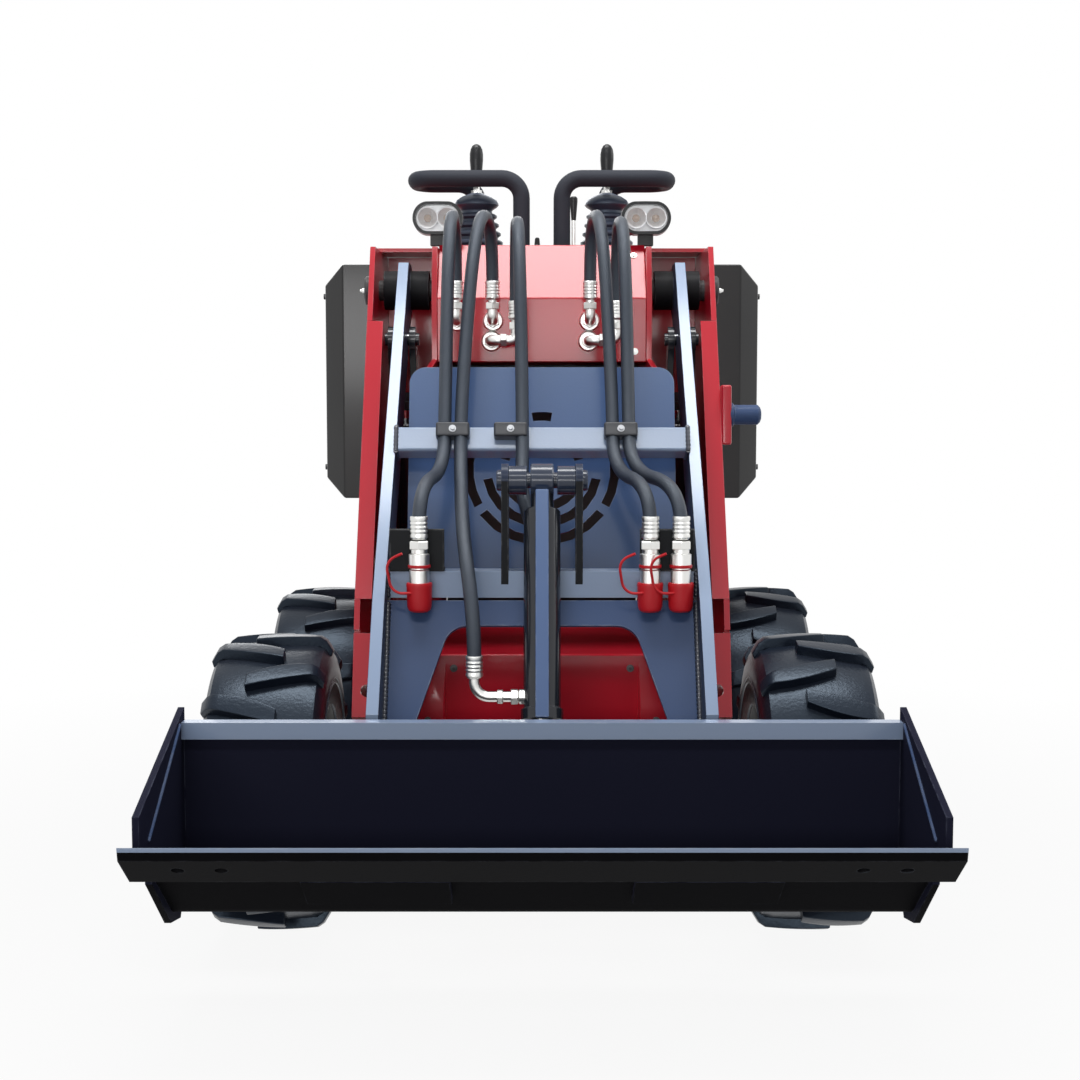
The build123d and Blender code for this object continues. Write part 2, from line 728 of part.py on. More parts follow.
export_step(lift_rods.part, "parts/lift_rods.step")

with BuildPart() as tilt_barrel:
    add(slant(0, tilt_base, tilt_eye, 15, 60, 19))
    add(slant(0, tilt_base, tilt_eye, 50, 400, tilt_barrel_r))
    add(rod_x(-19, 19, *tilt_base, 28))
    add(slant(0, tilt_base, tilt_eye, 380, 400, tilt_barrel_r + 4))
    add(plate_x(-11, 11, [along(tilt_base, tilt_eye, 20, -20), along(tilt_base, tilt_eye, 330, -20),
                          along(tilt_base, tilt_eye, 320, -37), along(tilt_base, tilt_eye, 30, -37)]))
    low = along(tilt_base, tilt_eye, port_low)
    add(rod_x(-port_x, 0, *low, port_r))
    add(rod_x(-elbow_x - 9, -port_x, *low, 9, 10))
    add(rod_to((-elbow_x, *low), (-elbow_x, low[0], low[1] + 30), 9, 10))
    add(rod_to((-elbow_x, low[0], low[1] + 30), (-elbow_x, low[0], low[1] + 30 + ferrule), 14, 12))
    add(rod_to((0, *along(tilt_base, tilt_eye, port_high)), (0, *along(tilt_base, tilt_eye, port_high, port_rear)), port_r, 12))
    add(slant(0, tilt_base, tilt_eye, 110, 400, tilt_rod_r + stub_gap, 0), mode=Mode.SUBTRACT)
    add(bore_x(-30, 30, *tilt_base, 13 + stub_gap), mode=Mode.SUBTRACT)
tilt_barrel.part.label = "tilt_barrel"
export_step(tilt_barrel.part, "parts/tilt_barrel.step")

with BuildPart() as tilt_rod:
    add(slant(0, tilt_base, tilt_eye, 150, tilt_length, tilt_rod_r))
    add(rod_x(-19, 19, *tilt_eye, 26))
    add(bore_x(-19, 19, *tilt_eye, 12.5), mode=Mode.SUBTRACT)
tilt_rod.part.label = "tilt_rod"
export_step(tilt_rod.part, "parts/tilt_rod.step")

# bucket
floor_slope = tan(radians(36))
floor_n = (sin(radians(36)), cos(radians(36)))


def floor_z(y, drop=0):
    return edge_z - (y - edge_y) * floor_slope - drop / cos(radians(36))


def wedge(x, front_y, rear_y, top_z, drop, radius):
    with BuildPart() as p:
        with BuildSketch(Plane.YZ.offset(-x)) as s:
            Polygon((front_y, floor_z(front_y, drop)), (rear_y, floor_z(rear_y, drop)), (rear_y, top_z), align=None)
            fillet(s.vertices().sort_by(Axis.Y)[0], radius)
        extrude(amount=2 * x)
    return p.part


floor_plane = Plane(origin=(0, edge_y, edge_z), x_dir=(-1, 0, 0), z_dir=(0, -floor_n[0], -floor_n[1]))
bolt_spots = [(s * x, bolt_back) for s in (-1, 1) for x in bolt_x]
inner_half = bucket_half - side_plate
with BuildPart() as bucket_shell:
    add(wedge(inner_half, edge_y + 15, back_y, lip_z, 0, 75))
    add(wedge(inner_half, edge_y - 120, back_y - shell, lip_z + 200, -shell, 75 - shell), mode=Mode.SUBTRACT)
    add(block(-inner_half, inner_half, back_y - 26, back_y, lip_z - 26, lip_z))
    for s in (-1, 1):
        add(plate_x(s * inner_half, s * bucket_half,
                    [(-1045, 348), (-1045, floor_z(-1045)), (-975, floor_z(-975)), (-975, 235), (-858, 143),
                     (-790, 130), (back_y + 2, 200), (back_y + 2, 443)]))
        with BuildSketch(floor_plane):
            with Locations((s * 235, 155)):
                Rectangle(210, 90)
        extrude(amount=10)
    with BuildSketch(floor_plane):
        with Locations(*bolt_spots):
            Circle(bolt_r)
    extrude(amount=-shell - 2, mode=Mode.SUBTRACT)
bucket_shell.part.label = "bucket_shell"
export_step(bucket_shell.part, "parts/bucket_shell.step")

with BuildPart() as cutting_edge:
    add(plate_x(-edge_half, edge_half,
                [(edge_y, edge_z), (edge_y + 5, floor_z(edge_y + 5, 14)), (-990, floor_z(-990, 14)), (-982, floor_z(-982))]))
    with BuildSketch(floor_plane):
        with Locations(*bolt_spots):
            Circle(bolt_r)
    extrude(amount=16, mode=Mode.SUBTRACT)
cutting_edge.part.label = "cutting_edge"
export_step(cutting_edge.part, "parts/cutting_edge.step")

with BuildPart() as attach_plate:
    add(block(-300, 300, back_y, plate_back, 160, 400))
    for s in (-1, 1):
        for c in (-1, 1):
            x0 = s * arm_x + c * (arm_plate / 2 + side_gap)
            x1 = x0 + c * 12
            add(plate_x(x0, x1, [(plate_back, hinge_z - 10), (hinge_y, hinge_z - 30), (hinge_y, hinge_z + 30),
                                 (plate_back, hinge_z + 90)]))
            add(rod_x(x0, x1, hinge_y, hinge_z, 30))
            add(bore_x(x0, x1, hinge_y, hinge_z, hinge_r), mode=Mode.SUBTRACT)
        add(plate_x(s * 24, s * 36, [(plate_back, tilt_eye_z - 60), (tilt_eye_y, tilt_eye_z - 26),
                                     (tilt_eye_y, tilt_eye_z + 26), (plate_back, tilt_eye_z + 60)]))
        add(rod_x(s * 24, s * 36, *tilt_eye, 26))
        add(rod_x(s * (19 + stub_gap), s * 42, *tilt_eye, 12))
attach_plate.part.label = "attach_plate"
export_step(attach_plate.part, "parts/attach_plate.step")

with BuildPart() as hinge_pins:
    for s in (-1, 1):
        add(rod_x(s * (arm_x - 34), s * (arm_x + 34), hinge_y, hinge_z, hinge_r))
hinge_pins.part.label = "hinge_pins"
export_step(hinge_pins.part, "parts/hinge_pins.step")

# hoses over the top, from the bulkhead to the clamps, and down to the couplers
clamp_x = [-168, -140, -34, 122, 150]
with BuildPart() as hoses_upper:
    for (_, z0, x0, reach), x1 in zip(ports, clamp_x):
        y0 = hood_front - reach
        z0 += neck + ferrule
        top = loop_top + 26 - reach / 2
        add(hose([(x0, y0, z0), (x0, y0, top), ((x0 + x1) / 2, y0 - 150, top), (x1, *on_tube(82, 13)),
                  (x1, *on_tube(22, 13))], hose_r, 60))
hoses_upper.part.label = "hoses_upper"
export_step(hoses_upper.part, "parts/hoses_upper.step")

with BuildPart() as hoses_lower:
    for x0, x1 in ((clamp_x[0], -200), (clamp_x[3], 176), (clamp_x[4], 226)):
        add(hose([(x0, *on_tube(-4, 13)), (x0, *on_tube(-64, 13)), (x1, coupler_y, 772), (x1, coupler_y, 712)],
                 hose_r, 40))
hoses_lower.part.label = "hoses_lower"
export_step(hoses_lower.part, "parts/hoses_lower.step")

with BuildPart() as tilt_hoses:
    add(hose([(clamp_x[1], *on_tube(-4, 13)), (clamp_x[1], *on_tube(-64, 13)), (-128, -565, 690),
              (-elbow_x, low[0], low[1] + ferrule + 90), (-elbow_x, low[0], low[1] + ferrule + 30)], hose_r, 36))
    add(hose([(clamp_x[2], *on_tube(-4, 13)), (clamp_x[2], *on_tube(-50, 13)), (clamp_x[2], -430, 745),
              (0, *along(tilt_base, tilt_eye, port_high, port_rear + 60)),
              (0, *along(tilt_base, tilt_eye, port_high, port_rear))], hose_r, 26))
tilt_hoses.part.label = "tilt_hoses"
export_step(tilt_hoses.part, "parts/tilt_hoses.step")
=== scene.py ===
import math

import bmesh
import bpy
from mathutils import Matrix, Vector


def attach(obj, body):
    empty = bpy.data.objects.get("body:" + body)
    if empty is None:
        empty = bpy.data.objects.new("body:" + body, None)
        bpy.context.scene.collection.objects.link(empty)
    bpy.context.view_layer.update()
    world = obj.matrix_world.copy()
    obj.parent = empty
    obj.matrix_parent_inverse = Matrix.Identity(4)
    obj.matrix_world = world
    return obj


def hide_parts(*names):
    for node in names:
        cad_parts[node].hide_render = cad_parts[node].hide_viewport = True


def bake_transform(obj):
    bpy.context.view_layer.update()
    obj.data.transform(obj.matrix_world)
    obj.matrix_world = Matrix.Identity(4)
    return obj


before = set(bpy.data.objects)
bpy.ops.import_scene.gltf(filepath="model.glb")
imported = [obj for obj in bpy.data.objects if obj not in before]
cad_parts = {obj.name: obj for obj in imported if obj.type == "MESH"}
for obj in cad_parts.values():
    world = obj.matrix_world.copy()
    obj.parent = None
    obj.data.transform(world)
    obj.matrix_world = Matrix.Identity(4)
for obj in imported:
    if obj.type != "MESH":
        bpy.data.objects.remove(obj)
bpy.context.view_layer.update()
scene = bpy.context.scene
scene.view_settings.view_transform = "Standard"

# Studio: a white floor that keeps the machine's shadow and a white surround for the paint to mirror.
# A long light hangs over the hood and the bucket, two stand in front, and two fill in the left side and the rear.
white = (1.0, 1.0, 1.0, 1.0)
surround_fill = 0.20
floor_size = 30.0
floor_grey = (0.42, 0.42, 0.42, 1.0)
shadow_from, shadow_to = 0.9, 2.4
shadow_lift = 0.92
look_down = 4.86


def feed(tree, node, inputs):
    for socket, value in dict(inputs).items():
        if isinstance(value, bpy.types.NodeSocket):
            tree.links.new(value, node.inputs[socket])
        else:
            node.inputs[socket].default_value = value


def shading(tree, kind, inputs, **settings):
    node = tree.nodes.new("ShaderNode" + kind)
    for name, value in settings.items():
        setattr(node, name, value)
    feed(tree, node, inputs)
    return node.outputs


def calc(tree, operation, *values):
    return shading(tree, "Math", enumerate(values), operation=operation)[0]


def spread(tree, value, low, high, least=0.0, most=1.0):
    limits = {"From Min": low, "From Max": high, "To Min": least, "To Max": most}
    return shading(tree, "MapRange", {"Value": value, **limits})["Result"]


def seen_directly(tree, low, high):
    rays = shading(tree, "LightPath", {})
    seen = calc(tree, "MAXIMUM", rays["Is Camera Ray"], rays["Is Glossy Ray"])
    return spread(tree, calc(tree, "MAXIMUM", seen, rays["Is Transmission Ray"]), 0.0, 1.0, low, high)


world = bpy.data.worlds.new("surround")
world.use_nodes = True
scene.world = world
surround_level = seen_directly(world.node_tree, surround_fill, 1.0)
feed(world.node_tree, world.node_tree.nodes["Background"], {"Color": white, "Strength": surround_level})

floor_mesh = bpy.data.meshes.new("floor")
floor_bm = bmesh.new()
bmesh.ops.create_grid(floor_bm, x_segments=1, y_segments=1, size=floor_size)
floor_bm.to_mesh(floor_mesh)
floor_bm.free()
floor = bpy.data.objects.new("floor", floor_mesh)
scene.collection.objects.link(floor)
floor_paper = bpy.data.materials.new("floor_paper")
floor_paper.use_nodes = True
paper = floor_paper.node_tree
paper_matt = paper.nodes["Principled BSDF"]
feed(paper, paper_matt, {"Base Color": floor_grey, "Roughness": 0.9})
paper_glow = shading(paper, "Emission", {"Color": white})
paper_place = shading(paper, "TexCoord", {})["Object"]
paper_reach = shading(paper, "VectorMath", {0: paper_place}, operation="LENGTH")["Value"]
paper_fade = spread(paper, paper_reach, shadow_from, shadow_to, shadow_lift)
paper_share = calc(paper, "MULTIPLY", seen_directly(paper, 0.0, 1.0), paper_fade)
paper_mix = shading(paper, "MixShader", {0: paper_share, 1: paper_matt.outputs[0], 2: paper_glow[0]})
feed(paper, paper.nodes["Material Output"], {"Surface": paper_mix[0]})
floor_mesh.materials.append(floor_paper)

for lamp_name, spot, aim, wide, deep, watts in (
    ("overhead", (-0.1, -0.48, 4.0), (-0.1, -0.48, 0.0), 3.0, 0.85, 112.0),
    ("front_top", (-0.3, -3.777, 3.73), (0.0, -0.33, 0.835), 3.0, 0.42, 36.0),
    ("front", (-1.1, -5.2, 1.25), (-0.2, -0.3, 0.8), 3.4, 0.60, 50.0),
    ("side", (4.2, 0.6, 2.6), (0.0, 0.2, 0.7), 2.6, 1.6, 26.0),
    ("rear", (-0.8, 4.6, 2.8), (0.0, 0.2, 0.7), 2.6, 1.6, 55.0),
):
    light = bpy.data.lights.new(lamp_name, "AREA")
    light.shape = "RECTANGLE"
    light.size = wide
    light.size_y = deep
    light.energy = watts
    lamp = bpy.data.objects.new(lamp_name, light)
    lamp.location = spot
    lamp.rotation_euler = (Vector(aim) - Vector(spot)).to_track_quat("-Z", "Y").to_euler()
    scene.collection.objects.link(lamp)

view = bpy.data.cameras.new("front_view")
view.sensor_width = 36.0
view.lens = 57.3
camera = bpy.data.objects.new("front_view", view)
camera.location = (-0.0034, -3.334, 0.920)
camera.rotation_euler = (math.radians(90.0 - look_down), 0.0, 0.0)
scene.collection.objects.link(camera)
scene.camera = camera

# Main frame: a welded steel tub that carries the axles, with a raised box each side at the front.
# It is sprayed in a red enamel; the front panel between the boxes is held by small hex bolts.
# Profiles, bevels and fasteners are given in millimetres, places and runs in metres.
mm = 0.001
origin = (0.0, 0.0, 0.0)
to_left = (1.0, 0.0, 0.0)
to_right = (-1.0, 0.0, 0.0)
to_front = (0.0, -1.0, 0.0)
to_rear = (0.0, 1.0, 0.0)
upward = (0.0, 0.0, 1.0)
sides = (-1.0, 1.0)
small_bolt = (7.0, 4.0)
merge_reach = 2e-5
corner_angle = math.radians(33.0)
sharp_angle = math.radians(34.0)
dust_colour = (0.34, 0.31, 0.27, 1.0)
rub_width = 0.004


def group(name, takes, gives):
    tree = bpy.data.node_groups.new(name, "ShaderNodeTree")
    for in_out, sockets in (("INPUT", takes), ("OUTPUT", gives)):
        for label, kind in sockets.items():
            tree.interface.new_socket(name=label, in_out=in_out, socket_type="NodeSocket" + kind)
    return tree, tree.nodes.new("NodeGroupInput").outputs, tree.nodes.new("NodeGroupOutput")


def noise(tree, scale, detail=3.0):
    coords = shading(tree, "TexCoord", {})["Object"]
    return shading(tree, "TexNoise", {"Vector": coords, "Scale": scale, "Detail": detail})["Fac"]


def blend(tree, share, first, colour):
    return shading(tree, "Mix", {0: share, 6: first, 7: colour}, data_type="RGBA")[2]


# dust that settles on faces that look up, patchy
dusting, takes, gives = group("dusting", {"Colour": "Color", "Dust": "Float", "Roughness": "Float"},
                              {"Colour": "Color", "Roughness": "Float"})
normal = shading(dusting, "NewGeometry", {})["Normal"]
facing = spread(dusting, shading(dusting, "SeparateXYZ", {"Vector": normal})["Z"], 0.1, 1.0)
patch = spread(dusting, noise(dusting, 7.0, 5.0), 0.35, 0.75)
cover = calc(dusting, "MULTIPLY", calc(dusting, "MULTIPLY_ADD", facing, 0.7, 0.3), patch)
share = calc(dusting, "MULTIPLY", cover, takes["Dust"])
shift = calc(dusting, "MULTIPLY_ADD", noise(dusting, 2.2, 2.0), 0.16, -0.08)
tone = shading(dusting, "HueSaturation", {"Value": calc(dusting, "ADD", shift, 1.0), "Color": takes["Colour"]})
feed(dusting, gives, {"Colour": blend(dusting, share, tone["Color"], dust_colour),
                      "Roughness": calc(dusting, "MULTIPLY_ADD", share, 0.35, takes["Roughness"])})

# paint rubbed thin along edges, found from how far a rounded normal leans from the flat one
rubbing, takes, gives = group("rubbing", {"Width": "Float", "Amount": "Float"}, {"Mask": "Float"})
rounded = shading(rubbing, "Bevel", {"Radius": takes["Width"]}, samples=4)["Normal"]
flat = shading(rubbing, "NewGeometry", {})["Normal"]
agree = shading(rubbing, "VectorMath", {0: rounded, 1: flat}, operation="DOT_PRODUCT")["Value"]
edge = spread(rubbing, calc(rubbing, "SUBTRACT", 1.0, agree), 0.03, 0.22)
worn = spread(rubbing, noise(rubbing, 38.0, 6.0), 0.40, 0.62)
thin = calc(rubbing, "MULTIPLY", calc(rubbing, "MULTIPLY", edge, worn), takes["Amount"])
feed(rubbing, gives, {"Mask": thin})

# the fine unevenness of a sprayed or moulded skin
skin, takes, gives = group("skin", {"Scale": "Float", "Depth": "Float"}, {"Normal": "Vector"})
grain = noise(skin, takes["Scale"], 2.0)
relief = shading(skin, "Bump", {"Distance": 0.002, "Strength": takes["Depth"], "Height": grain})
feed(skin, gives, {"Normal": relief["Normal"]})


def coated(name, colour, roughness, gloss, dust=0.03, rub=0.0, under=(0.42, 0.43, 0.45), grain=(260.0, 0.06),
           metallic=0.0, specular=0.5, painted_sky_tint=(1.0, 1.0, 1.0)):
    made = bpy.data.materials.new(name)
    made.use_nodes = True
    tree = made.node_tree
    dusty = {"Colour": (*colour, 1.0), "Dust": dust, "Roughness": roughness}
    layer = shading(tree, "Group", dusty, node_tree=dusting)
    shown = layer["Colour"]
    if rub:
        mask = shading(tree, "Group", {"Width": rub_width, "Amount": rub}, node_tree=rubbing)["Mask"]
        shown = blend(tree, mask, shown, (*under, 1.0))
    uneven = shading(tree, "Group", {"Scale": grain[0], "Depth": grain[1]}, node_tree=skin)
    # the specular tint colours the reflections; where it is blue it is a painted reflection of a blue sky
    feed(tree, tree.nodes["Principled BSDF"], {
        "Metallic": metallic, "Coat Weight": gloss, "Coat Roughness": 0.12, "Specular IOR Level": specular,
        "Specular Tint": (*painted_sky_tint, 1.0), "Base Color": shown, "Roughness": layer["Roughness"],
        "Normal": uneven["Normal"]})
    return made


def place(name, bm, material, body, slot, *stands_for):
    mesh = bpy.data.meshes.new(name)
    bm.to_mesh(mesh)
    bm.free()
    mesh.materials.append(material)
    mesh.shade_smooth()
    mesh.set_sharp_from_angle(angle=sharp_angle)
    piece = bpy.data.objects.new(name, mesh)
    scene.collection.objects.link(piece)
    even = piece.modifiers.new("even_shading", "WEIGHTED_NORMAL")
    even.keep_sharp = True
    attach(piece, body)
    if stands_for:
        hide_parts(*stands_for)
    return piece


def soften(bm, edges, width, segments=2, clamp=False):
    bmesh.ops.bevel(bm, geom=edges, offset=width * mm, affect="EDGES", segments=segments, profile=0.5, material=-1,
                    clamp_overlap=clamp)


def solid_copy(node):
    bm = bmesh.new()
    bm.from_mesh(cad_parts[node].data)
    bmesh.ops.remove_doubles(bm, verts=bm.verts, dist=merge_reach)
    bmesh.ops.dissolve_limit(bm, angle_limit=math.radians(1.0), verts=bm.verts, edges=bm.edges)
    return bm


def eased(node, width, material, body, slot, segments=2):
    bm = solid_copy(node)
    corners = [e for e in bm.edges if e.is_manifold and e.calc_face_angle(0.0) > corner_angle
               and e.calc_length() > 4.0 * width * mm]
    soften(bm, corners, width, segments, True)
    return place(node + "_shown", bm, material, body, slot, node)


def pour(bm, shape, seat=Matrix()):
    bmesh.ops.transform(shape, matrix=seat, verts=shape.verts)
    scrap = bpy.data.meshes.new("scrap")
    shape.to_mesh(scrap)
    shape.free()
    bm.from_mesh(scrap)
    bpy.data.meshes.remove(scrap)


def stood(spot, axis):
    turn = Vector(upward).rotation_difference(Vector(axis)).to_matrix().to_4x4()
    return Matrix.Translation(spot) @ turn


def turned(bm, outline, spot, axis, steps=32):
    shape = bmesh.new()
    line = [shape.verts.new((r * mm, 0.0, t * mm)) for t, r in outline]
    run = [shape.edges.new(pair) for pair in zip(line, line[1:])]
    bmesh.ops.spin(shape, geom=line + run, cent=origin, axis=upward, angle=2.0 * math.pi, steps=steps, use_merge=True)
    bmesh.ops.remove_doubles(shape, verts=shape.verts, dist=1e-6)
    bmesh.ops.recalc_face_normals(shape, faces=shape.faces)
    pour(bm, shape, stood(spot, axis))


def hex_bolt(bm, spot, axis, across, height=8.0):
    turned(bm, [(0, 0), (0, across * 0.92), (1.8, across * 0.9), (2, 0)], spot, axis, 20)
    shape = bmesh.new()
    radius = across * 0.58 * mm
    bmesh.ops.create_cone(shape, cap_ends=True, segments=6, radius1=radius, radius2=radius, depth=height * mm)
    bmesh.ops.translate(shape, vec=(0.0, 0.0, (height / 2 + 1.0) * mm), verts=shape.verts)
    soften(shape, [e for e in shape.edges if all(v.co.z > height * 0.9 * mm for v in e.verts)], across * 0.07)
    pour(bm, shape, stood(spot, axis))


red_enamel = coated("red_enamel", (0.50, 0.007, 0.022), 0.30, 0.55, dust=0.02, rub=0.25, specular=0.2)
zinc_plate = coated("zinc_plate", (0.78, 0.78, 0.76), 0.34, 0.0, dust=0.12, grain=(420.0, 0.10), metallic=1.0)
dark_primer = coated("dark_primer", (0.045, 0.045, 0.048), 0.55, 0.1, dust=0.25, rub=0.3, specular=0.3)
eased("chassis_frame", 4.0, red_enamel, "chassis", "red_paint")
panel_bolts = bmesh.new()
for x, y, heights in ((0.15, -0.440, (0.235, 0.345, 0.455)), (0.193, -0.466, (0.250, 0.370))):
    for s in sides:
        for z in heights:
            hex_bolt(panel_bolts, (s * x, y, z), to_front, *small_bolt)
place("front_panel_bolts", panel_bolts, dark_primer, "chassis", "dark_steel")

# Stub axles: four turned steel spindles with a bolted flange against the tub, left in dark primer.
# Each flange carries a ring of hex bolts.
axle_z = 0.254
front_axle_y, rear_axle_y = -0.400, 0.320
axle_outline = [(198, 0), (198, 55), (222, 55), (226, 51), (226, 40), (345, 38), (353, 34), (353, 25), (483, 25),
                (483, 0)]


def around(count, radius):
    turns = [2.0 * math.pi * k / count for k in range(count)]
    return [(radius * math.cos(turn), radius * math.sin(turn)) for turn in turns]


axle_bm = bmesh.new()
axle_bolts = bmesh.new()
for s in sides:
    for y in (front_axle_y, rear_axle_y):
        turned(axle_bm, axle_outline, (0.0, y, axle_z), (s, 0.0, 0.0))
        for back, rise in around(6, 0.047):
            hex_bolt(axle_bolts, (s * 0.226, y + back, axle_z + rise), (s, 0.0, 0.0), 11.0)
place("stub_axles_shown", axle_bm, dark_primer, "chassis", "dark_steel", "stub_axles")
place("axle_bolts", axle_bolts, zinc_plate, "chassis", "zinc")

# Wheels: pressed steel discs with five nuts, and rubber tyres with long bars from each shoulder to the middle.
# The bars stand clear of the carcass, run down over the shoulder and alternate from side to side.
wheel_x = 0.458
bar_count = 11
bar_inner, bar_reach = -0.028, 0.1265
bar_top_r, bar_foot_r, bar_mean_r = 0.2535, 0.232, 0.245
shoulder_at, shoulder_share = 0.86, 0.14
crown_half = 0.096
tyre_widest = 0.0993
carcass = [(0, 237.5), (35, 237), (70, 234.5), (86, 229), (94, 217), (97.5, 200), (98.5, 180), (97, 158), (94, 142),
           (92, 131), (84, 128)]
disc_outline = [(-91, 137), (-90, 138), (-84, 137), (-80, 127), (-40, 122), (10, 122), (60, 127), (80, 127), (84, 137),
                (90, 138), (91, 136), (88, 128), (70, 121), (40, 117), (34, 108), (36, 95), (33.5, 91), (33.5, 49),
                (44, 47), (46, 44), (46, 0)]
# the rubber is given a blue cast and a blue-tinted sheen, a painted reflection of a blue sky
tread_rubber = coated("tread_rubber", (0.007, 0.010, 0.018), 0.32, 0.0, dust=0.02, grain=(170.0, 0.22), specular=0.34,
                      painted_sky_tint=(0.62, 0.80, 1.0))
wheel_enamel = coated("wheel_enamel", (0.018, 0.019, 0.022), 0.40, 0.1, dust=0.08, rub=0.4, specular=0.35)
bolt_steel = coated("bolt_steel", (0.34, 0.35, 0.37), 0.38, 0.0, dust=0.1, metallic=1.0)


def both_ways(half):
    return [(-t, r) for t, r in reversed(half) if t] + half


def new_verts(grown):
    return [v for v in grown if isinstance(v, bmesh.types.BMVert)]


def crown(x):
    across = min(abs(x) / crown_half, 1.0)
    beyond = max(0.0, across - 0.8)
    return bar_top_r - 0.006 * across ** 2 - 0.06 * beyond ** 2


tyre_bm = bmesh.new()
turned(tyre_bm, both_ways(carcass) + [(-84, 128)], origin, to_left, 88)
for side in sides:
    bar = bmesh.new()
    bmesh.ops.create_grid(bar, x_segments=12, y_segments=3, size=0.5)
    bar_depth = {v: 0.0 for v in bar.verts}
    raised = bmesh.ops.extrude_face_region(bar, geom=bar.faces[:])
    bar_depth.update({v: 1.0 for v in new_verts(raised["geom"])})
    for v, down in bar_depth.items():
        s, t = v.co.x + 0.5, v.co.y
        x = bar_inner + bar_reach * s
        drop = max(0.0, s - shoulder_at) / shoulder_share
        width = 0.026 + 0.007 * math.sin(math.pi * min(1.0, s * 1.1))
        along = 0.030 * (1.0 - s) ** 1.6 - 0.011 + width * t * (1.0 + 0.16 * down)
        radius = crown(x) - 0.020 * drop ** 1.5
        if down:
            radius = min(radius - 0.006, bar_foot_r - 0.018 * drop)
            x = x - 0.003 * drop
        turn = along / bar_mean_r
        v.co = Vector((side * min(x, tyre_widest), radius * math.sin(turn), radius * math.cos(turn)))
    bmesh.ops.recalc_face_normals(bar, faces=bar.faces)
    rim_edges = [e for e in bar.edges if e.is_manifold and e.calc_face_angle(0.0) > math.radians(48.0)]
    soften(bar, rim_edges, 2.2, 2, True)
    stagger = Matrix.Rotation(math.pi / bar_count * (0.5 + 0.5 * side), 3, "X")
    bmesh.ops.rotate(bar, cent=origin, matrix=stagger, verts=bar.verts)
    bmesh.ops.spin(bar, geom=bar.verts[:] + bar.edges[:] + bar.faces[:], cent=origin, axis=to_left,
                   angle=2.0 * math.pi * (bar_count - 1) / bar_count, steps=bar_count - 1, use_duplicate=True)
    pour(tyre_bm, bar)
for side in sides:
    for r in (168, 176):
        rib = [(96.5, r - 2.2), (99.2, r - 1.0), (99.2, r + 1.0), (96.5, r + 2.2)]
        turned(tyre_bm, [(side * t, r) for t, r in rib], origin, to_left, 64)
disc_bm = bmesh.new()
turned(disc_bm, disc_outline, origin, to_left, 64)
turned(disc_bm, [(22, 0), (22, 112), (-50, 117), (-88, 128), (-91, 137)], origin, to_left, 64)
nut_bm = bmesh.new()
for y, z in around(5, 0.070):
    hex_bolt(nut_bm, (0.0330, y, z), to_left, 20.0, 15.0)
turned(nut_bm, [(30, 4), (52, 4), (53, 3), (53, 0)], (0.0, 0.0, 0.104), to_left, 12)
for end, y in (("front", front_axle_y), ("rear", rear_axle_y)):
    for hand, x, half_turn in (("left", wheel_x, 0.0), ("right", -wheel_x, math.pi)):
        seat = Matrix.Translation((x, y, axle_z)) @ Matrix.Rotation(half_turn, 4, "Z")
        for source, label, finish, slot in ((tyre_bm, "tyre", tread_rubber, "tyre"),
                                            (disc_bm, "rim", wheel_enamel, "rim_paint"),
                                            (nut_bm, "nuts", bolt_steel, "zinc")):
            copy = source.copy()
            bmesh.ops.transform(copy, matrix=seat, verts=copy.verts)
            node = f"{label}_{end}_{hand}"
            stands_for = [node] if source is not nut_bm else []
            place(node + "_shown", copy, finish, f"wheel_{end}_{hand}", slot, *stands_for)
for source in (tyre_bm, disc_bm, nut_bm):
    source.free()

# Towers: two folded steel channels welded to the tub, closed by a cap and a front flange, in the same red enamel.
# The arm pivots on a pin through both plates, kept by a head on the outside with a grease nipple in it.
arm_pivot = (0.0, 0.040, 1.120)
lift_base = Vector((0.0, 0.155, 0.577))
for hand in ("left", "right"):
    eased(f"tower_{hand}", 1.5, red_enamel, "chassis", "red_paint")
pin_bm = bmesh.new()
foot_pins = bmesh.new()
nipples = bmesh.new()
for s in sides:
    turned(pin_bm, [(198, 0), (198, 20), (325, 20), (325, 27), (328, 28), (340, 28), (343, 25), (343, 0)],
           arm_pivot, (s, 0.0, 0.0))
    turned(foot_pins, [(198, 0), (198, 12), (324, 12), (325, 11), (325, 0)], lift_base, (s, 0.0, 0.0))
    turned(nipples, [(343, 5), (348, 5), (351, 3), (353, 3), (354, 0)], arm_pivot, (s, 0.0, 0.0), 12)
place("arm_pivot_pins_shown", pin_bm, dark_primer, "chassis", "zinc", "arm_pivot_pins")
place("lift_base_pins_shown", foot_pins, zinc_plate, "chassis", "zinc", "lift_base_pins")
place("grease_nipples", nipples, zinc_plate, "chassis", "zinc")

# Cooler guard: a laser-cut plate with rings of slots, in slate-blue enamel, welded between the towers.
# The hood behind it is folded red sheet, and the console top and side boxes are black sheet.
# Hex bolts hold the sheets, and a ribbed filler cap stands on the rear hood.
hood_y = -0.064
rear_y = 0.640
cover_bolt = (11.0, 5.0)
filler = Vector((-0.235, 0.560, 1.179))
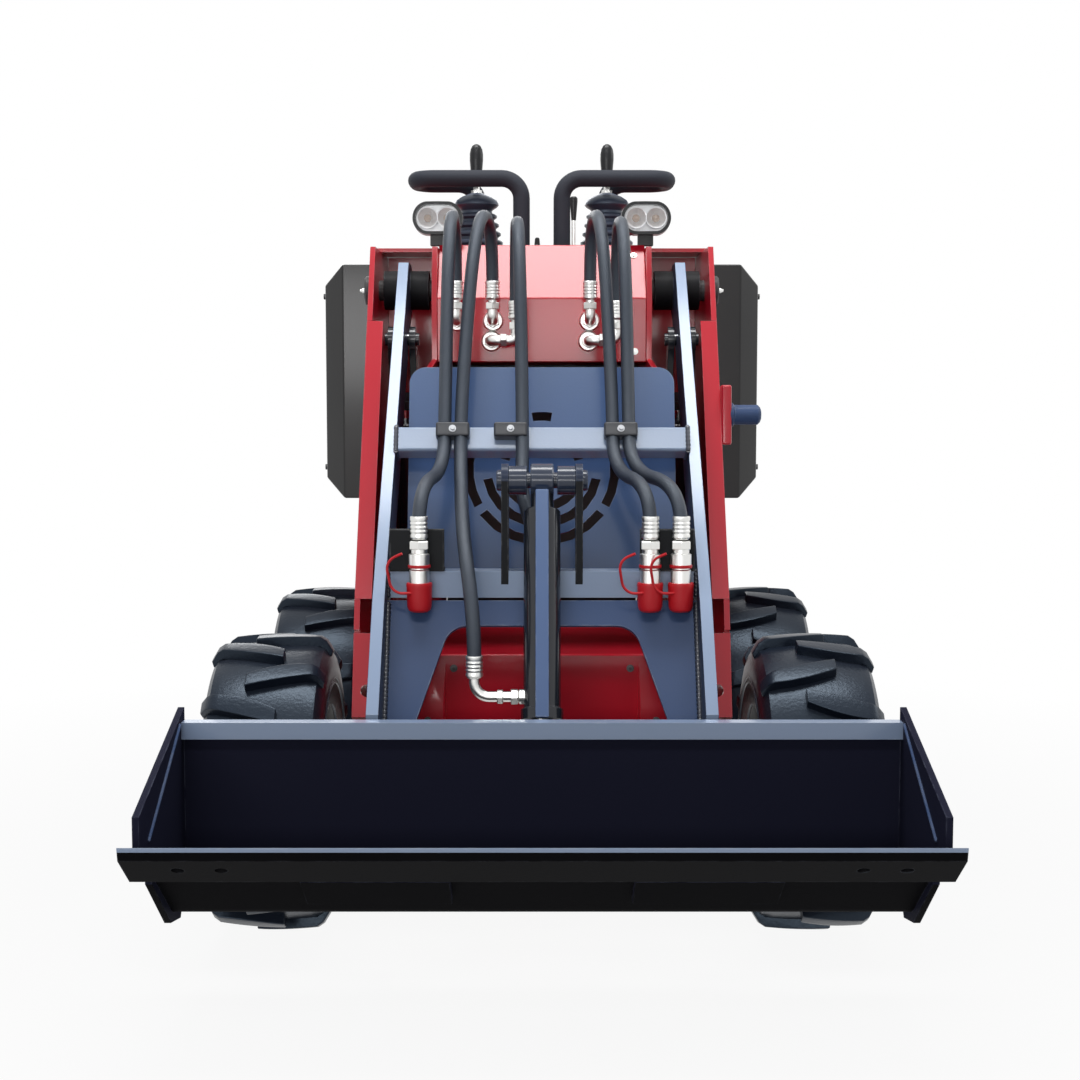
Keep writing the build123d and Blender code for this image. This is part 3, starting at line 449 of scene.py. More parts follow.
# a blue tint for the reflections of the slate paint, the boots and the highlight slate, a painted reflection of a blue
# sky
painted_sky_blue = (0.75, 0.88, 1.0)
slate_under = (0.55, 0.57, 0.60)
slate_enamel = coated("slate_enamel", (0.066, 0.122, 0.275), 0.26, 0.7, rub=0.35, under=slate_under, specular=0.3,
                      painted_sky_tint=painted_sky_blue)
satin_slate = coated("satin_slate", (0.042, 0.074, 0.165), 0.50, 0.05, rub=0.4, under=slate_under, specular=0.15)
black_enamel = coated("black_enamel", (0.012, 0.012, 0.013), 0.28, 0.40, dust=0.05, rub=0.3, specular=0.15)
eased("guard_plate", 1.5, slate_enamel, "chassis", "slate_paint", 1)
eased("hood", 2.0, red_enamel, "chassis", "red_paint")
for node in ("console_top", "side_cover_left", "side_cover_right"):
    eased(node, 3.0, black_enamel, "chassis", "black_paint")
eased("rear_hood", 2.0, red_enamel, "chassis", "red_paint")
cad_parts["engine_block"].data.materials.clear()
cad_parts["engine_block"].data.materials.append(dark_primer)
sheet_bolts = bmesh.new()
cover_bolts = bmesh.new()
for x in (-0.176, 0.176):
    hex_bolt(sheet_bolts, (x, hood_y, 1.000), to_front, *small_bolt)
    hex_bolt(sheet_bolts, (x, -0.0005, 1.184), (0.0, -0.80, 0.60), *small_bolt)
for s in sides:
    for y in (0.215, 0.545):
        for z in (0.770, 1.118):
            hex_bolt(cover_bolts, (s * 0.440, y, z), (s, 0.0, 0.0), *cover_bolt)
for x in (-0.290, 0.290):
    for z in (0.520, 0.820, 1.140):
        hex_bolt(cover_bolts, (x, rear_y, z), to_rear, *cover_bolt)
place("sheet_bolts", sheet_bolts, zinc_plate, "chassis", "zinc")
place("cover_bolts", cover_bolts, dark_primer, "chassis", "dark_steel")
filler_bm = bmesh.new()
turned(filler_bm, [(0, 0), (0, 36), (5, 36), (6, 29), (10, 29), (11, 33), (22, 33), (26, 29), (27, 0)],
       filler, upward, 36)
for x, y in around(18, 0.0325):
    turned(filler_bm, [(11, 0), (11, 2.8), (22, 2.8), (22, 0)], filler + Vector((x, y, 0.0)), upward, 8)
place("filler_cap", filler_bm, black_enamel, "chassis", "black_paint")

# Platform: a folded plate for the operator to stand on, gusseted to the tub, in black enamel with a studded top.
# A foam thigh pad in black vinyl is stuck to the rear hood above it.
stud_rows, stud_columns = 17, 24
stud_first = (-0.2645, 0.680)
stud_pitch = (0.023, 0.022)
stud_z = 0.1888
gusset_x, gusset_half, gusset_end_y = 0.183, 0.018, 0.800
studded = coated("studded_black", (0.026, 0.026, 0.027), 0.50, 0.1, dust=0.45, rub=0.3)
studs = bmesh.new()
for row in range(stud_rows):
    for column in range(stud_columns):
        x = stud_first[0] + stud_pitch[0] * column
        y = stud_first[1] + stud_pitch[1] * row
        if abs(abs(x) - gusset_x) <= gusset_half and y <= gusset_end_y:
            continue
        shape = bmesh.new()
        bmesh.ops.create_cone(shape, cap_ends=True, segments=6, radius1=0.0062, radius2=0.0035, depth=0.003)
        bmesh.ops.scale(shape, vec=(1.5, 0.62, 1.0), verts=shape.verts)
        slant = Matrix.Rotation(math.radians(45.0 if (row + column) % 2 else -45.0), 3, "Z")
        bmesh.ops.rotate(shape, cent=origin, matrix=slant, verts=shape.verts)
        bmesh.ops.translate(shape, vec=(x, y, stud_z), verts=shape.verts)
        pour(studs, shape)
eased("platform", 3.0, studded, "chassis", "black_paint")
place("platform_studs", studs, studded, "chassis", "black_paint")


def box(size, centre=origin):
    shape = bmesh.new()
    bmesh.ops.create_cube(shape, size=1.0)
    bmesh.ops.scale(shape, vec=size, verts=shape.verts)
    bmesh.ops.translate(shape, vec=centre, verts=shape.verts)
    return shape


pad_size = Vector((0.416, 0.038, 0.166))
pad_middle = Vector((0.0, 0.6595, 1.040))
vinyl = coated("black_vinyl", (0.020, 0.020, 0.021), 0.46, 0.0, dust=0.10, grain=(520.0, 0.30))
pad_bm = box(pad_size, pad_middle)
soften(pad_bm, [e for e in pad_bm.edges if abs(e.verts[0].co.y - e.verts[1].co.y) > 0.01], 35.0, 4)
for inset in (0.004, 0.020, 0.028):
    face = max(pad_bm.faces, key=lambda f: f.calc_center_median().y)
    bmesh.ops.inset_region(pad_bm, faces=[face], thickness=inset, depth=0.0)
for v in pad_bm.verts:
    if v.co.y > pad_middle.y + 0.0105:
        off = v.co - pad_middle
        rim = min(1.0, max(abs(off.x) / (pad_size.x / 2.0), abs(off.z) / (pad_size.z / 2.0)))
        v.co.y -= 0.010 * rim ** 6
pad = place("thigh_pad_shown", pad_bm, vinyl, "chassis", "foam", "thigh_pad")
crowned = pad.modifiers.new("crown", "SUBSURF")
crowned.levels = 2
crowned.render_levels = 2

# Grab bars: bent steel tube covered in dark foam, one loop each side of the console for the operator's hands.
# The foam is closed-cell, matt and slightly pitted.
console_z = 1.206
grip_bend = 0.040
grip_foam = coated("grip_foam", (0.036, 0.040, 0.052), 0.60, 0.0, dust=0.02, grain=(600.0, 0.35), specular=0.15)


def clear_inside(bm):
    hidden = [f for f in bm.faces if all(len(e.link_faces) > 2 for e in f.edges)]
    bmesh.ops.delete(bm, geom=hidden, context="FACES_ONLY")
    bmesh.ops.recalc_face_normals(bm, faces=bm.faces)


def new_face(grown):
    return next(f for f in grown if isinstance(f, bmesh.types.BMFace))


def pull(bm, face, vec):
    grown = bmesh.ops.extrude_face_region(bm, geom=[face])["geom"]
    bmesh.ops.translate(bm, vec=vec, verts=new_verts(grown))
    return new_face(grown)


def bent_tube(bm, radius, start, heading, moves, steps=20):
    shape = bmesh.new()
    bmesh.ops.create_circle(shape, cap_ends=True, segments=steps, radius=radius)
    bmesh.ops.transform(shape, matrix=stood(start, heading), verts=shape.verts)
    shape.faces.ensure_lookup_table()
    tip = shape.faces[0]
    spot, ahead = Vector(start), Vector(heading).normalized()
    for move in moves:
        if len(move) == 1:
            tip = pull(shape, tip, ahead * move[0])
            spot = spot + ahead * move[0]
        else:
            axis, degrees, bend = Vector(move[0]), move[1], move[2]
            centre = spot + axis.cross(ahead) * bend
            swept = bmesh.ops.spin(shape, geom=[tip, *tip.edges, *tip.verts], cent=centre, axis=axis,
                                   angle=math.radians(degrees), steps=max(3, int(abs(degrees) / 9.0)))
            tip = new_face(swept["geom_last"])
            swing = Matrix.Rotation(math.radians(degrees), 3, axis)
            spot = centre + swing @ (spot - centre)
            ahead = swing @ ahead
    bmesh.ops.remove_doubles(shape, verts=shape.verts, dist=1e-6)
    clear_inside(shape)
    pour(bm, shape)


grip_bm = bmesh.new()
for s in sides:
    round_up = ((0.0, 0.0, s), 90.0, grip_bend)
    bent_tube(grip_bm, 0.017, (s * 0.041, 0.200, console_z), upward,
              [(0.109,), ((0.0, s, 0.0), 90.0, grip_bend), (0.136,), round_up, (0.020,), round_up, (0.043,),
               ((0.0, -s * 0.8162, -s * 0.5778), 90.0, grip_bend), (0.0858,), (to_right, 35.3, grip_bend), (0.0233,)])
place("grip_bars_shown", grip_bm, grip_foam, "chassis", "foam", "grip_bars")

# Drive levers: two black moulded knobs on steel stems, each in a stepped rubber boot, and a short throttle lever.
# The boots are moulded bellows that narrow in rings towards the stem. A switch stub stands beside the throttle,
# and a key switch between two push caps is let into the console behind them.
throttle = (0.064, 0.150, console_z)
moulded_black = coated("moulded_black", (0.010, 0.011, 0.013), 0.30, 0.0, dust=0.02, grain=(380.0, 0.10), specular=0.3)
# the boots are lighter and bluer than black rubber, with a blue sheen: a painted reflection of a blue sky
boot_rubber = coated("boot_rubber", (0.048, 0.060, 0.092), 0.34, 0.0, dust=0.02, grain=(300.0, 0.16), specular=0.4,
                     painted_sky_tint=painted_sky_blue)
boot_outline = [(0, 0), (0, 56)]
for ring, r in enumerate((58, 54, 50, 46, 42)):
    t = 18 * ring
    boot_outline += [(t + 3, r), (t + 7, r), (t + 10, r - 3), (t + 11.5, r - 10), (t + 16.5, r - 10)]
boot_outline += [(91, 34), (96, 42), (100, 45.5), (104, 45), (110, 41.5), (117, 31), (123, 17), (125, 12), (125, 0)]
boot_bm = bmesh.new()
lever_bm = bmesh.new()
stem_bm = bmesh.new()
for s in sides:
    foot = (s * 0.134, 0.250, console_z)
    turned(boot_bm, boot_outline, foot, upward, 36)
    turned(stem_bm, [(124, 0), (124, 11), (131, 11), (132, 6.5), (146, 6.5), (146, 0)], foot, upward, 6)
    turned(lever_bm, [(144, 0), (144, 10), (147, 11.2), (172, 12.2), (192, 13.8), (204, 13.8), (214, 12.2), (221, 8.5),
                      (224, 4), (224, 0)], foot, upward, 28)
turned(stem_bm, [(0, 0), (0, 10), (3, 10), (4, 4), (62, 4), (62, 0)], throttle, upward, 16)
turned(lever_bm, [(60, 0), (60, 4.6), (64, 5), (98, 7.8), (104, 7.6), (107, 5), (107, 0)], throttle, upward, 20)
turned(lever_bm, [(0, 0), (0, 9.5), (6, 9.5), (7, 6), (20, 5), (24, 4.5), (26, 2.5), (26, 0)],
       (-0.009, 0.150, console_z), upward, 20)
place("joystick_boots_shown", boot_bm, boot_rubber, "chassis", "rubber", "joystick_boots")
for x in (-0.045, 0.045):
    turned(lever_bm, [(0, 0), (0, 11), (3, 11), (4, 8.5), (9, 8), (11, 6), (11, 0)], (x, 0.425, console_z), upward, 24)
turned(stem_bm, [(0, 0), (0, 13.5), (4, 13.5), (6, 11.5), (6, 6), (4, 5.5), (4, 0)],
       (0.0, 0.425, console_z), upward, 28)
place("levers_shown", lever_bm, moulded_black, "chassis", "knob", "joystick_levers", "throttle_lever")
place("lever_stems", stem_bm, zinc_plate, "chassis", "zinc")

# Work lamps: two oval housings on posts, each with a pair of bright reflectors behind a clear lens.
# The housings are black moulded shells; the lens is clipped in flush.
lamp_x, lamp_z = 0.200, 1.256
mirror_bowl = coated("mirror_bowl", (0.80, 0.81, 0.83), 0.30, 0.5, dust=0.0, grain=(120.0, 0.10), metallic=0.3)
warm_bulb = coated("warm_bulb", (0.46, 0.34, 0.25), 0.25, 0.5, dust=0.0)
clear_lens = bpy.data.materials.new("clear_lens")
clear_lens.use_nodes = True
lens_tree = clear_lens.node_tree
lens_ribs = shading(lens_tree, "Group", {"Scale": 150.0, "Depth": 0.08}, node_tree=skin)
feed(lens_tree, lens_tree.nodes["Principled BSDF"], {
    "Base Color": (0.95, 0.97, 0.98, 1.0), "Alpha": 0.07, "Normal": lens_ribs["Normal"],
    "Roughness": spread(lens_tree, noise(lens_tree, 40.0), -3.0, 9.0)})


def oval(bm, centre, width, height):
    made = bmesh.ops.create_circle(bm, cap_ends=True, segments=40, radius=height / 2.0)["verts"]
    for v in made:
        v.co.x += math.copysign((width - height) / 2.0, v.co.x) if abs(v.co.x) > 1e-6 else 0.0
    bmesh.ops.rotate(bm, cent=origin, matrix=Matrix.Rotation(math.radians(90.0), 3, "X"), verts=made)
    bmesh.ops.translate(bm, vec=centre, verts=made)
    return made[0].link_faces[0]


lamp_bm = bmesh.new()
bowl_bm = bmesh.new()
bulb_bm = bmesh.new()
lens_bm = bmesh.new()
for s in sides:
    x = s * lamp_x
    face = oval(lamp_bm, (x, 0.041, lamp_z), 0.080, 0.050)
    for forward, y, widen in ((0.012, 0.029, (0.097 / 0.080, 1.0, 0.064 / 0.050)), (0.031, -0.002, (0.985, 1.0, 0.98))):
        face = pull(lamp_bm, face, (0.0, -forward, 0.0))
        bmesh.ops.scale(lamp_bm, vec=widen, space=Matrix.Translation((-x, -y, -lamp_z)), verts=face.verts[:])
    bmesh.ops.inset_region(lamp_bm, faces=[face], thickness=0.006, depth=0.0)
    pull(lamp_bm, face, (0.0, 0.018, 0.0))
    pull(bowl_bm, oval(bowl_bm, (x, 0.0125, lamp_z), 0.083, 0.050), (0.0, -0.001, 0.0))
    for apart in (-0.019, 0.019):
        turned(bowl_bm, [(0, 0), (1, 4), (4, 10), (10, 16), (16.5, 18.8), (16.8, 20.2), (12, 19.6), (0, 14), (-0.5, 0)],
               (x + apart, 0.0145, lamp_z), to_front, 28)
        turned(bulb_bm, [(0.5, 0), (0.5, 7.5), (4, 7.8), (8, 6), (10, 3), (10.5, 0)],
               (x + apart, 0.0125, lamp_z), to_front, 20)
    post = box((0.030, 0.014, 0.040), (x, 0.023, 1.224))
    soften(post, post.edges[:], 2.0)
    pour(lamp_bm, post)
    face = pull(lens_bm, oval(lens_bm, (x, -0.0035, lamp_z), 0.0845, 0.0515), (0.0, -0.0030, 0.0))
    bmesh.ops.inset_region(lens_bm, faces=[face], thickness=0.003, depth=0.0)
for bm in (lamp_bm, lens_bm, bowl_bm):
    clear_inside(bm)
place("work_lamps_shown", lamp_bm, moulded_black, "chassis", "knob", "work_lamps")
place("lamp_bowls", bowl_bm, mirror_bowl, "chassis", "lens")
place("lamp_bulbs", bulb_bm, warm_bulb, "chassis", "lens")
place("lamp_lenses_shown", lens_bm, clear_lens, "chassis", "lens", "lamp_lenses")

# Bulkhead fittings: zinc-plated hydraulic unions through the hood face, each with a hex, a neck and an elbow upwards.
# A crimped ferrule on each elbow holds the end of a hose.
# Each port is the union's x and z, the x at which its hose rises, and how far it stands off the hood.
ports = [(-0.160, 1.057, -0.160, 0.038), (-0.092, 1.057, -0.092, 0.038), (-0.095, 1.019, -0.048, 0.066),
         (0.090, 1.057, 0.090, 0.038), (0.088, 1.019, 0.138, 0.066)]
elbow_bend = 0.012
union_bm = bmesh.new()


def hexagon(bm, spot, axis, radius, depth):
    shape = bmesh.new()
    bmesh.ops.create_cone(shape, cap_ends=True, segments=6, radius1=radius * mm, radius2=radius * mm, depth=depth * mm)
    soften(shape, [e for e in shape.edges if abs(e.verts[0].co.z - e.verts[1].co.z) < 1e-6], 1.2, 1)
    bmesh.ops.translate(shape, vec=(0.0, 0.0, depth / 2.0 * mm), verts=shape.verts)
    pour(bm, shape, stood(spot, axis))


def ferrule(bm, spot, axis, length, radius):
    outline = [(0, 0), (0, radius * 0.8), (4, radius)]
    for ring in range(4):
        t = 8 + ring * (length - 12) / 4.0
        outline += [(t, radius), (t + 1.5, radius * 0.93), (t + 3, radius * 0.93), (t + 4.5, radius)]
    turned(bm, outline + [(length - 1, radius), (length, radius * 0.95), (length, 0)], spot, axis, 24)


for x, z, rise, reach in ports:
    y = hood_y - reach
    turned(union_bm, [(0, 0), (0, 19), (3, 19.5), (7, 19), (10, 16.5), (10, 0)], (x, hood_y, z), to_front, 32)
    hexagon(union_bm, (x, -0.073, z), to_front, 13.5, 10.0)
    moves = [(reach - 0.020,), (to_right, 90.0, elbow_bend), (0.010,)]
    if rise != x:
        away = math.copysign(1.0, rise - x)
        moves = [(reach - 0.020,), ((0.0, 0.0, away), 90.0, elbow_bend), (abs(rise - x) - 2.0 * elbow_bend,),
                 ((0.0, -away, 0.0), 90.0, elbow_bend), (0.010,)]
        hexagon(union_bm, (x + away * 0.018, y, z), (away, 0.0, 0.0), 13.0, 12.0)
    bent_tube(union_bm, 0.0098, (x, -0.072, z), to_front, moves)
    hexagon(union_bm, (rise, y, z + 0.020), upward, 13.5, 13.0)
    turned(union_bm, [(30, 0), (30, 9), (40, 9), (40, 0)], (rise, y, z), upward, 20)
    ferrule(union_bm, (rise, y, z + 0.037), upward, 35.0, 13.8)
place("bulkhead_fittings_shown", union_bm, zinc_plate, "chassis", "zinc", "bulkhead_fittings")

# Arm lock: a red tapered boss welded to the left tower, which carries a slate-painted pin for propping the arms.
# The pin's outer end is turned down and chamfered.
boss_outline = ((-0.226, 0.828), (-0.174, 0.828), (-0.182, 0.936), (-0.218, 0.936))
boss_bm = bmesh.new()
boss_foot = boss_bm.faces.new([boss_bm.verts.new((0.325, y, z)) for y, z in boss_outline])
pull(boss_bm, boss_foot, (0.018, 0.0, 0.0))
bmesh.ops.recalc_face_normals(boss_bm, faces=boss_bm.faces)
soften(boss_bm, boss_bm.edges[:], 4.0, 3)
place("lock_boss_shown", boss_bm, red_enamel, "chassis", "red_paint", "lock_pin")
lock_bm = bmesh.new()
turned(lock_bm, [(341, 0), (341, 21.5), (347, 21.5), (349, 18), (392, 18), (396, 14), (398, 9), (399, 0)],
       (0.0, -0.200, 0.882), to_left, 36)
place("lock_pin_shown", lock_bm, satin_slate, "chassis", "slate_paint")

# Lift arms: two thick plates cut to a long bent outline, joined by two square cross tubes and an arched front plate.
# All are welded and painted slate blue. The cross tubes and the arm edges are coloured a lighter slate, a painted
# highlight, and the arms' inner faces, the arm hubs and the tilt lugs dark slate or black, painted shade.
# Rippled beads run where the tubes and the arched plate meet the arms.
arm_x = 0.264
hub_r, arm_half = 0.039, 0.0105
lug_foot_z, lug_head_z = 0.631, 0.752
weld_x = 0.253
tube_lean = math.radians(21.0)
tube_mid = Vector((0.0, -0.330, 0.835))
tube_up = Vector((0.0, math.sin(tube_lean), math.cos(tube_lean)))
tube_out = Vector((0.0, -math.cos(tube_lean), math.sin(tube_lean)))
tube_half = 0.022
low_tube_z = 0.608
arch_foot = Vector((0.0, -0.640, 0.345))
arch_up = Vector((0.0, 0.4545, 0.8908))
arch_out = Vector((0.0, -0.8908, 0.4545))
tilt_base = Vector((0.0, -0.505, 0.778))
tilt_eye = Vector((0.0, -0.677, 0.300))
# matt black is the brackets' own paint, and is also used as painted shade on the arm hubs and the lower part of the
# tilt lugs
matt_black = coated("matt_black", (0.008, 0.009, 0.011), 0.50, 0.0, dust=0.04, rub=0.5, specular=0.12)
# a lighter slate with a blue-tinted sheen, used as a painted highlight on faces that catch the light
painted_highlight_slate = coated("painted_highlight_slate", (0.250, 0.325, 0.470), 0.30, 0.6, rub=0.3, under=(0.60, 0.62, 0.66), specular=0.3,
                      painted_sky_tint=painted_sky_blue)
# a dark slate used as painted shade on faces turned away from the light
painted_shade_slate = coated("painted_shade_slate", (0.020, 0.030, 0.060), 0.40, 0.1, rub=0.4, under=(0.30, 0.34, 0.42), specular=0.12)
weld_dark = coated("weld_dark", (0.016, 0.021, 0.036), 0.34, 0.3, dust=0.02, rub=0.5, under=(0.35, 0.38, 0.45))
pin_slate = coated("pin_slate", (0.020, 0.030, 0.058), 0.26, 0.5, rub=0.5, under=(0.40, 0.44, 0.52), specular=0.2)
own, highlight_paint, shadow_black, shade_paint = range(4)
for node, width, paint in (("arm_left", 4.0, slate_enamel), ("arm_right", 4.0, slate_enamel),
                           ("upper_cross_tube", 2.0, slate_enamel), ("lower_cross_tube", 3.0, slate_enamel),
                           ("arch_plate", 2.0, satin_slate)):
    piece = eased(node, width, paint, "lift_arms", "slate_paint")
    for other in (painted_highlight_slate, matt_black, painted_shade_slate):
        piece.data.materials.append(other)
    for face in piece.data.polygons:
        middle = face.center
        # every cross tube face except the lugs takes the lighter slate, a painted highlight
        if node.endswith("cross_tube"):
            on_lug = node.startswith("lower") and middle.z > lug_foot_z
            # the lugs are black below their heads and dark slate above, both painted shade
            face.material_index = highlight_paint if not on_lug else shadow_black if middle.z < lug_head_z else shade_paint
        elif node.startswith("arm_"):
            from_pivot = math.hypot(middle.y - arm_pivot[1], middle.z - arm_pivot[2])
            # hub faces round the pivot take black, painted shade
            on_hub = from_pivot < hub_r and abs(abs(middle.x) - arm_x) > arm_half
            inward = -math.copysign(1.0, middle.x) * face.normal.x
            # arm faces turned towards the middle take dark slate as painted shade, the narrow edge faces the lighter
            # slate as a painted highlight, the outer faces their own slate
            face.material_index = shadow_black if on_hub else shade_paint if inward > 0.3 else highlight_paint if inward > -0.3 else own


def bead(bm, start, end, radius=5.8, pitch=7.0):
    run = Vector(end) - Vector(start)
    length = run.length / mm
    count = max(3, round(length / pitch))
    step = length / count
    outline = [(0, 0)]
    for ripple in range(count):
        t = step * ripple
        outline += [(t, radius * 0.80), (t + 0.35 * step, radius), (t + 0.70 * step, radius * 0.94)]
    turned(bm, outline + [(length, radius * 0.7), (length, 0)], start, run.normalized(), 10)


def on_tube(x, up_by, out_by):
    return Vector((x, 0.0, 0.0)) + tube_mid + tube_up * up_by + tube_out * out_by


weld_bm = bmesh.new()
for s in sides:
    x = s * weld_x
    beside = Vector((x, 0.0, 0.0)) + arch_foot + arch_out * 0.008
    bead(weld_bm, beside + arch_up * 0.010, beside + arch_up * 0.258)
    for up_by in (-tube_half, tube_half):
        bead(weld_bm, (x, -0.526, low_tube_z + up_by), (x, -0.482, low_tube_z + up_by), 4.5)
    bead(weld_bm, (x, -0.526, 0.588), (x, -0.526, 0.628), 4.5)
    for near, far in (((-1, 1), (1, 1)), ((1, 1), (1, -1)), ((-1, 1), (-1, -1))):
        start, end = [on_tube(x, up_by * tube_half, out_by * tube_half) for up_by, out_by in (near, far)]
        bead(weld_bm, start, end, 4.5)
place("arm_welds", weld_bm, weld_dark, "lift_arms", "slate_paint")
eased("coupler_brackets", 1.5, matt_black, "lift_arms", "slate_paint", 1)
pivot_bm = bmesh.new()
turned(pivot_bm, both_ways([(25, 13), (25, 23), (26, 24), (54, 24), (55, 23), (55, 13), (67, 13), (67, 17.5),
                            (72, 17.5), (75, 16), (75, 0)]), tilt_base, to_left, 36)
place("tilt_pin_shown", pivot_bm, pin_slate, "lift_arms", "slate_paint", "tilt_pin")

# Hose clamps: moulded black blocks bolted to the upper cross tube, each gripping one or two hoses.
# A hex bolt in a washer holds each block.
clamp_grey = coated("clamp_grey", (0.022, 0.025, 0.032), 0.36, 0.1, rub=0.3, specular=0.35)
eased("hose_clamps", 4.0, clamp_grey, "lift_arms", "knob", 3)
clamp_bolts = bmesh.new()
for x in (-0.154, -0.054, 0.136):
    hex_bolt(clamp_bolts, on_tube(x, 0.009, 0.048), tube_out, 7.0, 5.0)
place("clamp_bolts", clamp_bolts, bolt_steel, "lift_arms", "zinc")

# Auxiliary couplers: zinc quick couplings that hang from a bracket at each side, closed by red rubber caps.
# Each cap is kept by a loop of the same rubber.
coupler_y = -0.550
coupler_xs = (-0.200, 0.176, 0.226)
loop_bend = 0.022
cap_rubber = coated("cap_rubber", (0.56, 0.012, 0.020), 0.40, 0.0, grain=(260.0, 0.08), specular=0.3)
coupler_bm = bmesh.new()
cap_bm = bmesh.new()
for x in coupler_xs:
    foot = (x, coupler_y, 0.0)
    turned(coupler_bm, [(612, 0), (612, 16.5), (634, 16.5), (636, 14.5), (640, 14.5), (642, 17), (660, 17), (662, 13.5),
                        (668, 13.5), (668, 0)], foot, upward, 32)
    hexagon(coupler_bm, (x, coupler_y, 0.668), upward, 16.8, 14.0)
    ferrule(coupler_bm, (x, coupler_y, 0.684), upward, 38.0, 14.5)
    turned(cap_bm, [(566, 0), (566, 14), (569, 18), (575, 20), (590, 20.6), (606, 21), (610, 21.5), (613.5, 20.5),
                    (613.5, 16), (612.5, 0)], foot, upward, 32)
    bent_tube(cap_bm, 0.0022, (x - 0.012, coupler_y - 0.016, 0.598), (-1.0, -0.25, 0.0),
              [(0.014,), (to_rear, 80.0, loop_bend), (0.020,), (to_rear, 75.0, loop_bend), (0.014,)], 10)
    turned(cap_bm, [(638, 15), (638, 18), (640.5, 18.6), (643, 18), (643, 15)], foot, upward, 28)
place("couplers_shown", coupler_bm, zinc_plate, "lift_arms", "zinc", "couplers")
place("coupler_caps_shown", cap_bm, cap_rubber, "lift_arms", "red_cap", "coupler_caps")

# Cylinders: honed tubes with welded ends, painted black, and bright chromed rods.
# The tilt barrel has a slate bar in front.
# Eyes and forks take the pins of the arms, the towers and the bucket.
tilt_run = (tilt_eye - tilt_base).normalized()
tilt_front = Vector((0.0, tilt_run.z, -tilt_run.y))
low_port = tilt_base + tilt_run * 0.360
high_port = tilt_base + tilt_run * 0.100
elbow_x = 0.108
rightward = Vector(to_right)
lift_run = (Vector((0.0, -0.061, 1.0225)) - lift_base).normalized()
rod_reach = 0.0166
chromed = coated("chromed_rod", (0.80, 0.81, 0.83), 0.12, 0.0, grain=(500.0, 0.02), metallic=1.0)
gloss_black = coated("gloss_black", (0.014, 0.017, 0.024), 0.22, 0.55, dust=0.04, rub=0.25, specular=0.2)
barrel_bm = bmesh.new()
turned(barrel_bm, [(15, 0), (15, 19), (50, 19), (52, 28), (55, 30), (379, 30), (381, 34), (398, 34), (400, 32),
                   (400, 17.5), (396, 17.5)], tilt_base, tilt_run, 40)
place("tilt_barrel_shown", barrel_bm, gloss_black, "tilt_cylinder_barrel", "black_paint", "tilt_barrel")
eye_bm = bmesh.new()
turned(eye_bm, both_ways([(17, 28), (19, 26), (19, 13.8)]), tilt_base, to_left, 36)
place("tilt_barrel_eye", eye_bm, pin_slate, "tilt_cylinder_barrel", "slate_paint")
bar_bm = box((0.022, 0.017, 0.374))
soften(bar_bm, bar_bm.edges[:], 2.5)
bar_turn = Matrix((Vector(to_left), tilt_front, tilt_run)).transposed().to_4x4()
bar_spot = Matrix.Translation(tilt_base + tilt_run * 0.212 + tilt_front * 0.0285)
bmesh.ops.transform(bar_bm, matrix=bar_spot @ bar_turn, verts=bar_bm.verts)
bmesh.ops.recalc_face_normals(bar_bm, faces=bar_bm.faces)
place("tilt_barrel_bar", bar_bm, slate_enamel, "tilt_cylinder_barrel", "slate_paint")
tilt_ports = bmesh.new()
turned(tilt_ports, [(26, 0), (26, 12), (36, 12), (38, 9), (40, 9), (40, 0)], low_port, to_right, 24)
hexagon(tilt_ports, low_port + rightward * 0.038, to_right, 13.0, 12.0)
hexagon(tilt_ports, low_port + rightward * 0.062, to_right, 12.0, 10.0)
bent_tube(tilt_ports, 0.0085, low_port + rightward * 0.040, to_right,
          [(elbow_x - 0.064,), (to_rear, 90.0, 0.024), (0.010,)])
ferrule(tilt_ports, low_port + Vector((-elbow_x, 0.0, 0.030)), upward, 36.0, 13.8)
turned(tilt_ports, [(26, 0), (26, 12), (34, 12), (36, 9.5), (50, 9.5), (50, 0)], high_port, -tilt_front, 24)
hexagon(tilt_ports, high_port - tilt_front * 0.034, -tilt_front, 13.0, 10.0)
place("tilt_ports", tilt_ports, zinc_plate, "tilt_cylinder_barrel", "zinc")
rod_bm = bmesh.new()
turned(rod_bm, [(150, 0), (150, 17), (490, 17), (490, 0)], tilt_base, tilt_run, 36)
turned(rod_bm, both_ways([(18, 26), (19, 25), (19, 12.5)]) + [(-19, 12.5)], tilt_eye, to_left, 36)
place("tilt_rod_shown", rod_bm, chromed, "tilt_cylinder_rod", "chrome_rod", "tilt_rod")
lift_bm = bmesh.new()
for s in sides:
    foot = lift_base + Vector((s * arm_x, 0.0, 0.0))
    turned(lift_bm, [(20, 0), (20, 26), (24, 28), (312, 28), (314, 31), (328, 31), (330, 29), (330, 16.5), (326, 16.5)],
           foot, lift_run, 36)
    turned(lift_bm, both_ways([(25, 27), (26, 26), (26, 12.5)]), foot, to_left, 32)
place("lift_barrels_shown", lift_bm, gloss_black, "lift_cylinder_barrels", "black_paint", "lift_barrels")
forks = eased("lift_rods", 2.0, gloss_black, "lift_cylinder_rods", "chrome_rod")
forks.data.materials.append(chromed)
for face in forks.data.polygons:
    reach = 0.0
    for v in face.vertices:
        spot = forks.data.vertices[v].co
        offset = spot - lift_base - Vector((math.copysign(arm_x, spot.x), 0.0, 0.0))
        reach = max(reach, (offset - lift_run * offset.dot(lift_run)).length)
    face.material_index = 1 if reach < rod_reach else 0

